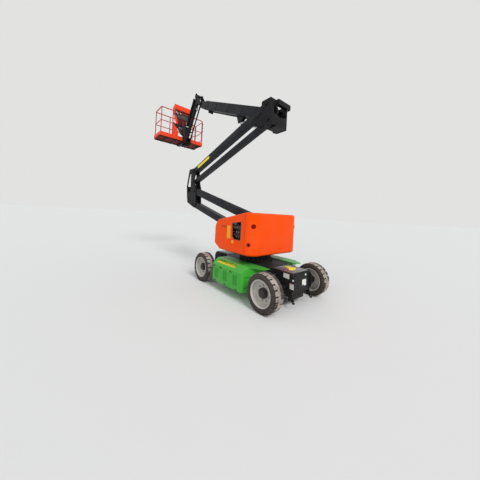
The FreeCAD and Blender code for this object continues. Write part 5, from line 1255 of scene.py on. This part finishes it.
class MakeControls(bpy.types.Operator):
    """Make the control console's switches, stick, stop button and cables"""
    bl_idname = "boomlift.controls"
    bl_label = "Controls"

    def execute(self, context):
        slope = math.atan2(95, 210)
        turn = Matrix.Rotation(slope, 3, "Y")
        about = (P_X0 + 85, 65, P_TOP + 213.5)

        def spot(x, y, height):
            """A point over the sloping panel, x running down it towards the operator."""
            way = turn @ Vector((x, 0, height))
            return (about[0] + way.x, y, about[2] + way.z)

        def on_panel(form, x, y, low, high, half_x, half_y, bevel=0.001):
            return form.block((about[0] + x - half_x, y - half_y, about[2] + low),
                              (about[0] + x + half_x, y + half_y, about[2] + high), bevel, turn, about)

        deck = Form()
        on_panel(deck, 0, 65, -2, 5, 92, 300, 0.003)
        deck.make("control_deck", "black_plastic", "platform")
        knobs = Form()
        for i in range(7):
            y = -180 + i * 56
            on_panel(knobs, 42, y, 5, 9, 15, 15, 0.002)
            knobs.drum(spot(42, y, 6), spot(46, y, 36), 5, 7, 16)
        for i in range(5):
            y = -150 + i * 60
            on_panel(knobs, -36, y, 5, 9, 13, 13, 0.002)
            knobs.drum(spot(-36, y, 6), spot(-38, y, 26), 5, 6, 16)
        knobs.make("control_switches", "grey_plastic", "platform")
        stick = Form()
        stick.drum(spot(0, 245, 4), spot(0, 245, 32), 34, 18, 32, 0.003)
        stick.drum(spot(0, 245, 28), spot(-14, 245, 78), 10, 15, 24, 0.004)
        stick.make("control_stick", "black_plastic", "platform")
        stop = Form()
        stop.drum(spot(0, 325, 8), spot(0, 325, 22), 13, segments=24)
        stop.drum(spot(0, 325, 22), spot(0, 325, 36), 21, segments=32, bevel=0.004)
        stop.make("platform_stop_button", "red_plastic", "platform")
        ring = Form()
        ring.drum(spot(0, 325, 4), spot(0, 325, 8), 30, segments=32)
        ring.make("stop_button_ring", "yellow_plastic", "platform")
        pedal = Form()
        pedal.block((P_X0 + 120, 180, P_FLOOR), (P_X0 + 300, 300, P_FLOOR + 26), 0.006)
        pedal.block((P_X0 + 130, 190, P_FLOOR + 30), (P_X0 + 290, 290, P_FLOOR + 40), 0.004,
                    Matrix.Rotation(-0.1, 3, "Y"))
        for y in (180, 292):
            pedal.plate([(P_X0 + 120, P_FLOOR + 20), (P_X0 + 300, P_FLOOR + 20), (P_X0 + 290, P_FLOOR + 95),
                         (P_X0 + 180, P_FLOOR + 100)], y, y + 8, 0.002)
        pedal.make("foot_switch", "black_plastic", "platform")
        lamp = Form()
        holder = Form()
        for y, z in ((345, 5760), (285, 5735), (165, 5744)):
            lamp.drum((P_X0 - 40, y, z), (P_X0 - 62, y, z - 10), 17, 22, 28, 0.002)
            holder.block((P_X0 - 40, y - 20, z - 20), (P_X0 - 34, y + 20, 5850), 0.002)
        lamp.make("underside_lamps", "white_label", "platform")
        holder.block((P_X0 + 16, -232, 5556), (P_X0 + 120, 268, 5702), 0.006)
        for y in range(-190, 231, 70):
            holder.block((P_X0 + 12, y, 5580), (P_X0 + 16, y + 34, 5680), 0.001)
        holder.make("console_tray", "black_plastic", "platform")
        strut = Form()
        lean = Matrix.Rotation(-math.atan2(121, 370), 3, "X")
        strut.block((P_X0 - 1, 264, 5270), (P_X0 + 4, 354, 5640), 0.001, lean)
        strut.make("console_strut", "platform_paint", "platform")
        valve = Form()
        valve.block((P_X0 - 50, 60, 5100), (P_X0 - 19, 210, 5190), 0.003)
        for y in (85, 120, 155, 190):
            valve.drum((P_X0 - 36, y, 5100), (P_X0 - 36, y, 5070), 10, segments=20)
            valve.drum((P_X0 - 50, y, 5150), (P_X0 - 66, y, 5150), 13, segments=24)
        valve.make("rotator_valve", "raw_steel", "platform")
        radius = context.scene.boomlift_fittings.hose_radius
        for i, y in enumerate((85, 120, 155, 190)):
            hose("rotator_hose_%d" % i, [(P_X0 - 36, y, 5072), (P_X0 - 36, y, 5000), (P_X0 - 40, y - 20, 4920),
                                         (P_X0 - 46, 30 - i * 14, 4860), (P_X0 - 60, -10 - i * 14, 4845)],
                 radius * 0.9, "platform")
        for i in range(4):
            y = 20 + i * 26
            hose("console_cable_%d" % i, [(P_X0 + 78, y, 5558), (P_X0 + 70, y, 5540), (P_X0 + 30, y - 5, 5500),
                                          (P_X0 - 22, y - 20, 5400), (P_X0 - 42, y - 60, 5250),
                                          (P_X0 - 42, y - 80, 5100), (P_X0 - 48, y - 90, 4960),
                                          (P_X0 - 60, -76 + i * 10, 4860)], radius * 0.9, "platform")
        plug = Form()
        for i in range(4):
            y = 20 + i * 26
            plug.drum((P_X0 + 78, y, 5557), (P_X0 + 78, y, 5530), 12, segments=20)
            plug.drum((P_X0 + 78, y, 5552), (P_X0 + 78, y, 5540), 15, segments=6)
        plug.make("console_glands", "black_plastic", "platform")
        return {"FINISHED"}


# Stage

CAMERA_SPOT = (-3551.0, 3536.0, 1725.0)
CAMERA_YAW, CAMERA_PITCH, CAMERA_ROLL = -39.98, 0.34, 2.97
FOCAL_PX, CENTRE_PX, FRAME_PX = 205.69, (240.5, 213.5), 480.0
FLOOR_HALF = 300.0
BACKGROUND = (0.76, 0.76, 0.755, 1)
LAMPS = [
    {"name": "key_light", "spot": (-8000.0, 1500.0, 7500.0), "strength": 2.0, "angle": 25.0},
    {"name": "fill_light", "spot": (-1000.0, 8000.0, 3500.0), "strength": 0.5, "angle": 60.0},
]


class MakeStage(bpy.types.Operator):
    """Make the pale floor, the soft light and the camera"""
    bl_idname = "boomlift.stage"
    bl_label = "Stage"

    def execute(self, context):
        scene = context.scene
        bm = bmesh.new()
        bmesh.ops.create_grid(bm, x_segments=2, y_segments=2, size=FLOOR_HALF)
        mesh = bpy.data.meshes.new("floor")
        bm.to_mesh(mesh)
        bm.free()
        floor = bpy.data.objects.new("floor", mesh)
        scene.collection.objects.link(floor)
        pale = bpy.data.materials.new("pale_floor")
        pale.use_nodes = True
        tree = pale.node_tree
        shader = tree.nodes["Principled BSDF"]
        shader.inputs["Roughness"].default_value = 0.9
        speckle = noise(tree, tree.nodes.new("ShaderNodeTexCoord").outputs["Object"], 3.0, 6.0)
        colour = mixed(tree, worked(tree, "MULTIPLY", speckle, 0.06), (0.78, 0.78, 0.77, 1), (0.6, 0.6, 0.6, 1))
        tree.links.new(colour, shader.inputs["Base Color"])
        mesh.materials.append(pale)

        world = bpy.data.worlds.new("studio")
        scene.world = world
        world.use_nodes = True
        tree = world.node_tree
        tree.nodes.clear()
        out = tree.nodes.new("ShaderNodeOutputWorld")
        path = tree.nodes.new("ShaderNodeLightPath")
        light = tree.nodes.new("ShaderNodeBackground")
        light.inputs["Color"].default_value = (0.95, 0.97, 1.0, 1)
        light.inputs["Strength"].default_value = 0.5
        seen = tree.nodes.new("ShaderNodeBackground")
        seen.inputs["Color"].default_value = BACKGROUND
        seen.inputs["Strength"].default_value = 1.0
        mix = tree.nodes.new("ShaderNodeMixShader")
        visible = worked(tree, "MAXIMUM", path.outputs["Is Camera Ray"], path.outputs["Is Glossy Ray"])
        visible = worked(tree, "MAXIMUM", visible, path.outputs["Is Transmission Ray"])
        tree.links.new(visible, mix.inputs["Fac"])
        tree.links.new(light.outputs[0], mix.inputs[1])
        tree.links.new(seen.outputs[0], mix.inputs[2])
        tree.links.new(mix.outputs[0], out.inputs["Surface"])

        for lamp_settings in LAMPS:
            lamp = bpy.data.lights.new(lamp_settings["name"], "SUN")
            lamp.energy = lamp_settings["strength"]
            lamp.angle = math.radians(lamp_settings["angle"])
            holder = bpy.data.objects.new(lamp_settings["name"], lamp)
            scene.collection.objects.link(holder)
            holder.location = at(*lamp_settings["spot"])
            holder.rotation_euler = Vector(lamp_settings["spot"]).to_track_quat("Z", "Y").to_euler()

        yaw, pitch, roll = (math.radians(v) for v in (CAMERA_YAW, CAMERA_PITCH, CAMERA_ROLL))
        ahead = Vector((math.cos(yaw) * math.cos(pitch), math.sin(yaw) * math.cos(pitch), math.sin(pitch)))
        right = Vector((math.sin(yaw), -math.cos(yaw), 0))
        up = right.cross(ahead)
        side = right * math.cos(roll) + up * math.sin(roll)
        top = up * math.cos(roll) - right * math.sin(roll)
        lens = bpy.data.cameras.new("photo_camera")
        lens.sensor_width = 36.0
        lens.lens = FOCAL_PX / FRAME_PX * lens.sensor_width
        lens.shift_x = (FRAME_PX / 2.0 - CENTRE_PX[0]) / FRAME_PX
        lens.shift_y = (CENTRE_PX[1] - FRAME_PX / 2.0) / FRAME_PX
        camera = bpy.data.objects.new("photo_camera", lens)
        scene.collection.objects.link(camera)
        turn = Matrix((side, top, -ahead)).transposed().to_4x4()
        camera.matrix_world = Matrix.Translation(at(*CAMERA_SPOT)) @ turn
        scene.camera = camera
        scene.view_settings.view_transform = "Standard"
        return {"FINISHED"}


class BoomLiftPanel(bpy.types.Panel):
    """Lists the settings and the steps that dress the boom lift"""
    bl_idname = "VIEW3D_PT_boomlift"
    bl_label = "Boom lift"
    bl_space_type = "VIEW_3D"
    bl_region_type = "UI"
    bl_category = "Boom lift"

    def draw(self, context):
        column = self.layout.column()
        for settings in (context.scene.boomlift_finish, context.scene.boomlift_fittings):
            for name in settings.__annotations__:
                column.prop(settings, name)
        for step in STEPS:
            column.operator(step.bl_idname)


STEPS = [MakeFinishes, MakeTyres, MakeWheelFittings, MakeChassisFittings, MakePodFittings, MakeTurretFittings,
         MakeRiserFittings, MakeCylinderFittings, MakeBoomFittings, MakeJibFittings, MakePlatformFittings,
         MakeControls, MakeStage]
SETTINGS = [FinishSettings, FittingSettings]


def register():
    for one in SETTINGS + STEPS + [BoomLiftPanel]:
        bpy.utils.register_class(one)
    bpy.types.Scene.boomlift_finish = PointerProperty(type=FinishSettings)
    bpy.types.Scene.boomlift_fittings = PointerProperty(type=FittingSettings)


def unregister():
    del bpy.types.Scene.boomlift_finish
    del bpy.types.Scene.boomlift_fittings
    for one in reversed(SETTINGS + STEPS + [BoomLiftPanel]):
        bpy.utils.unregister_class(one)


def main():
    register()
    for step in STEPS:
        group, action = step.bl_idname.split(".")
        getattr(getattr(bpy.ops, group), action)()


if __name__ == "__main__":
    main()
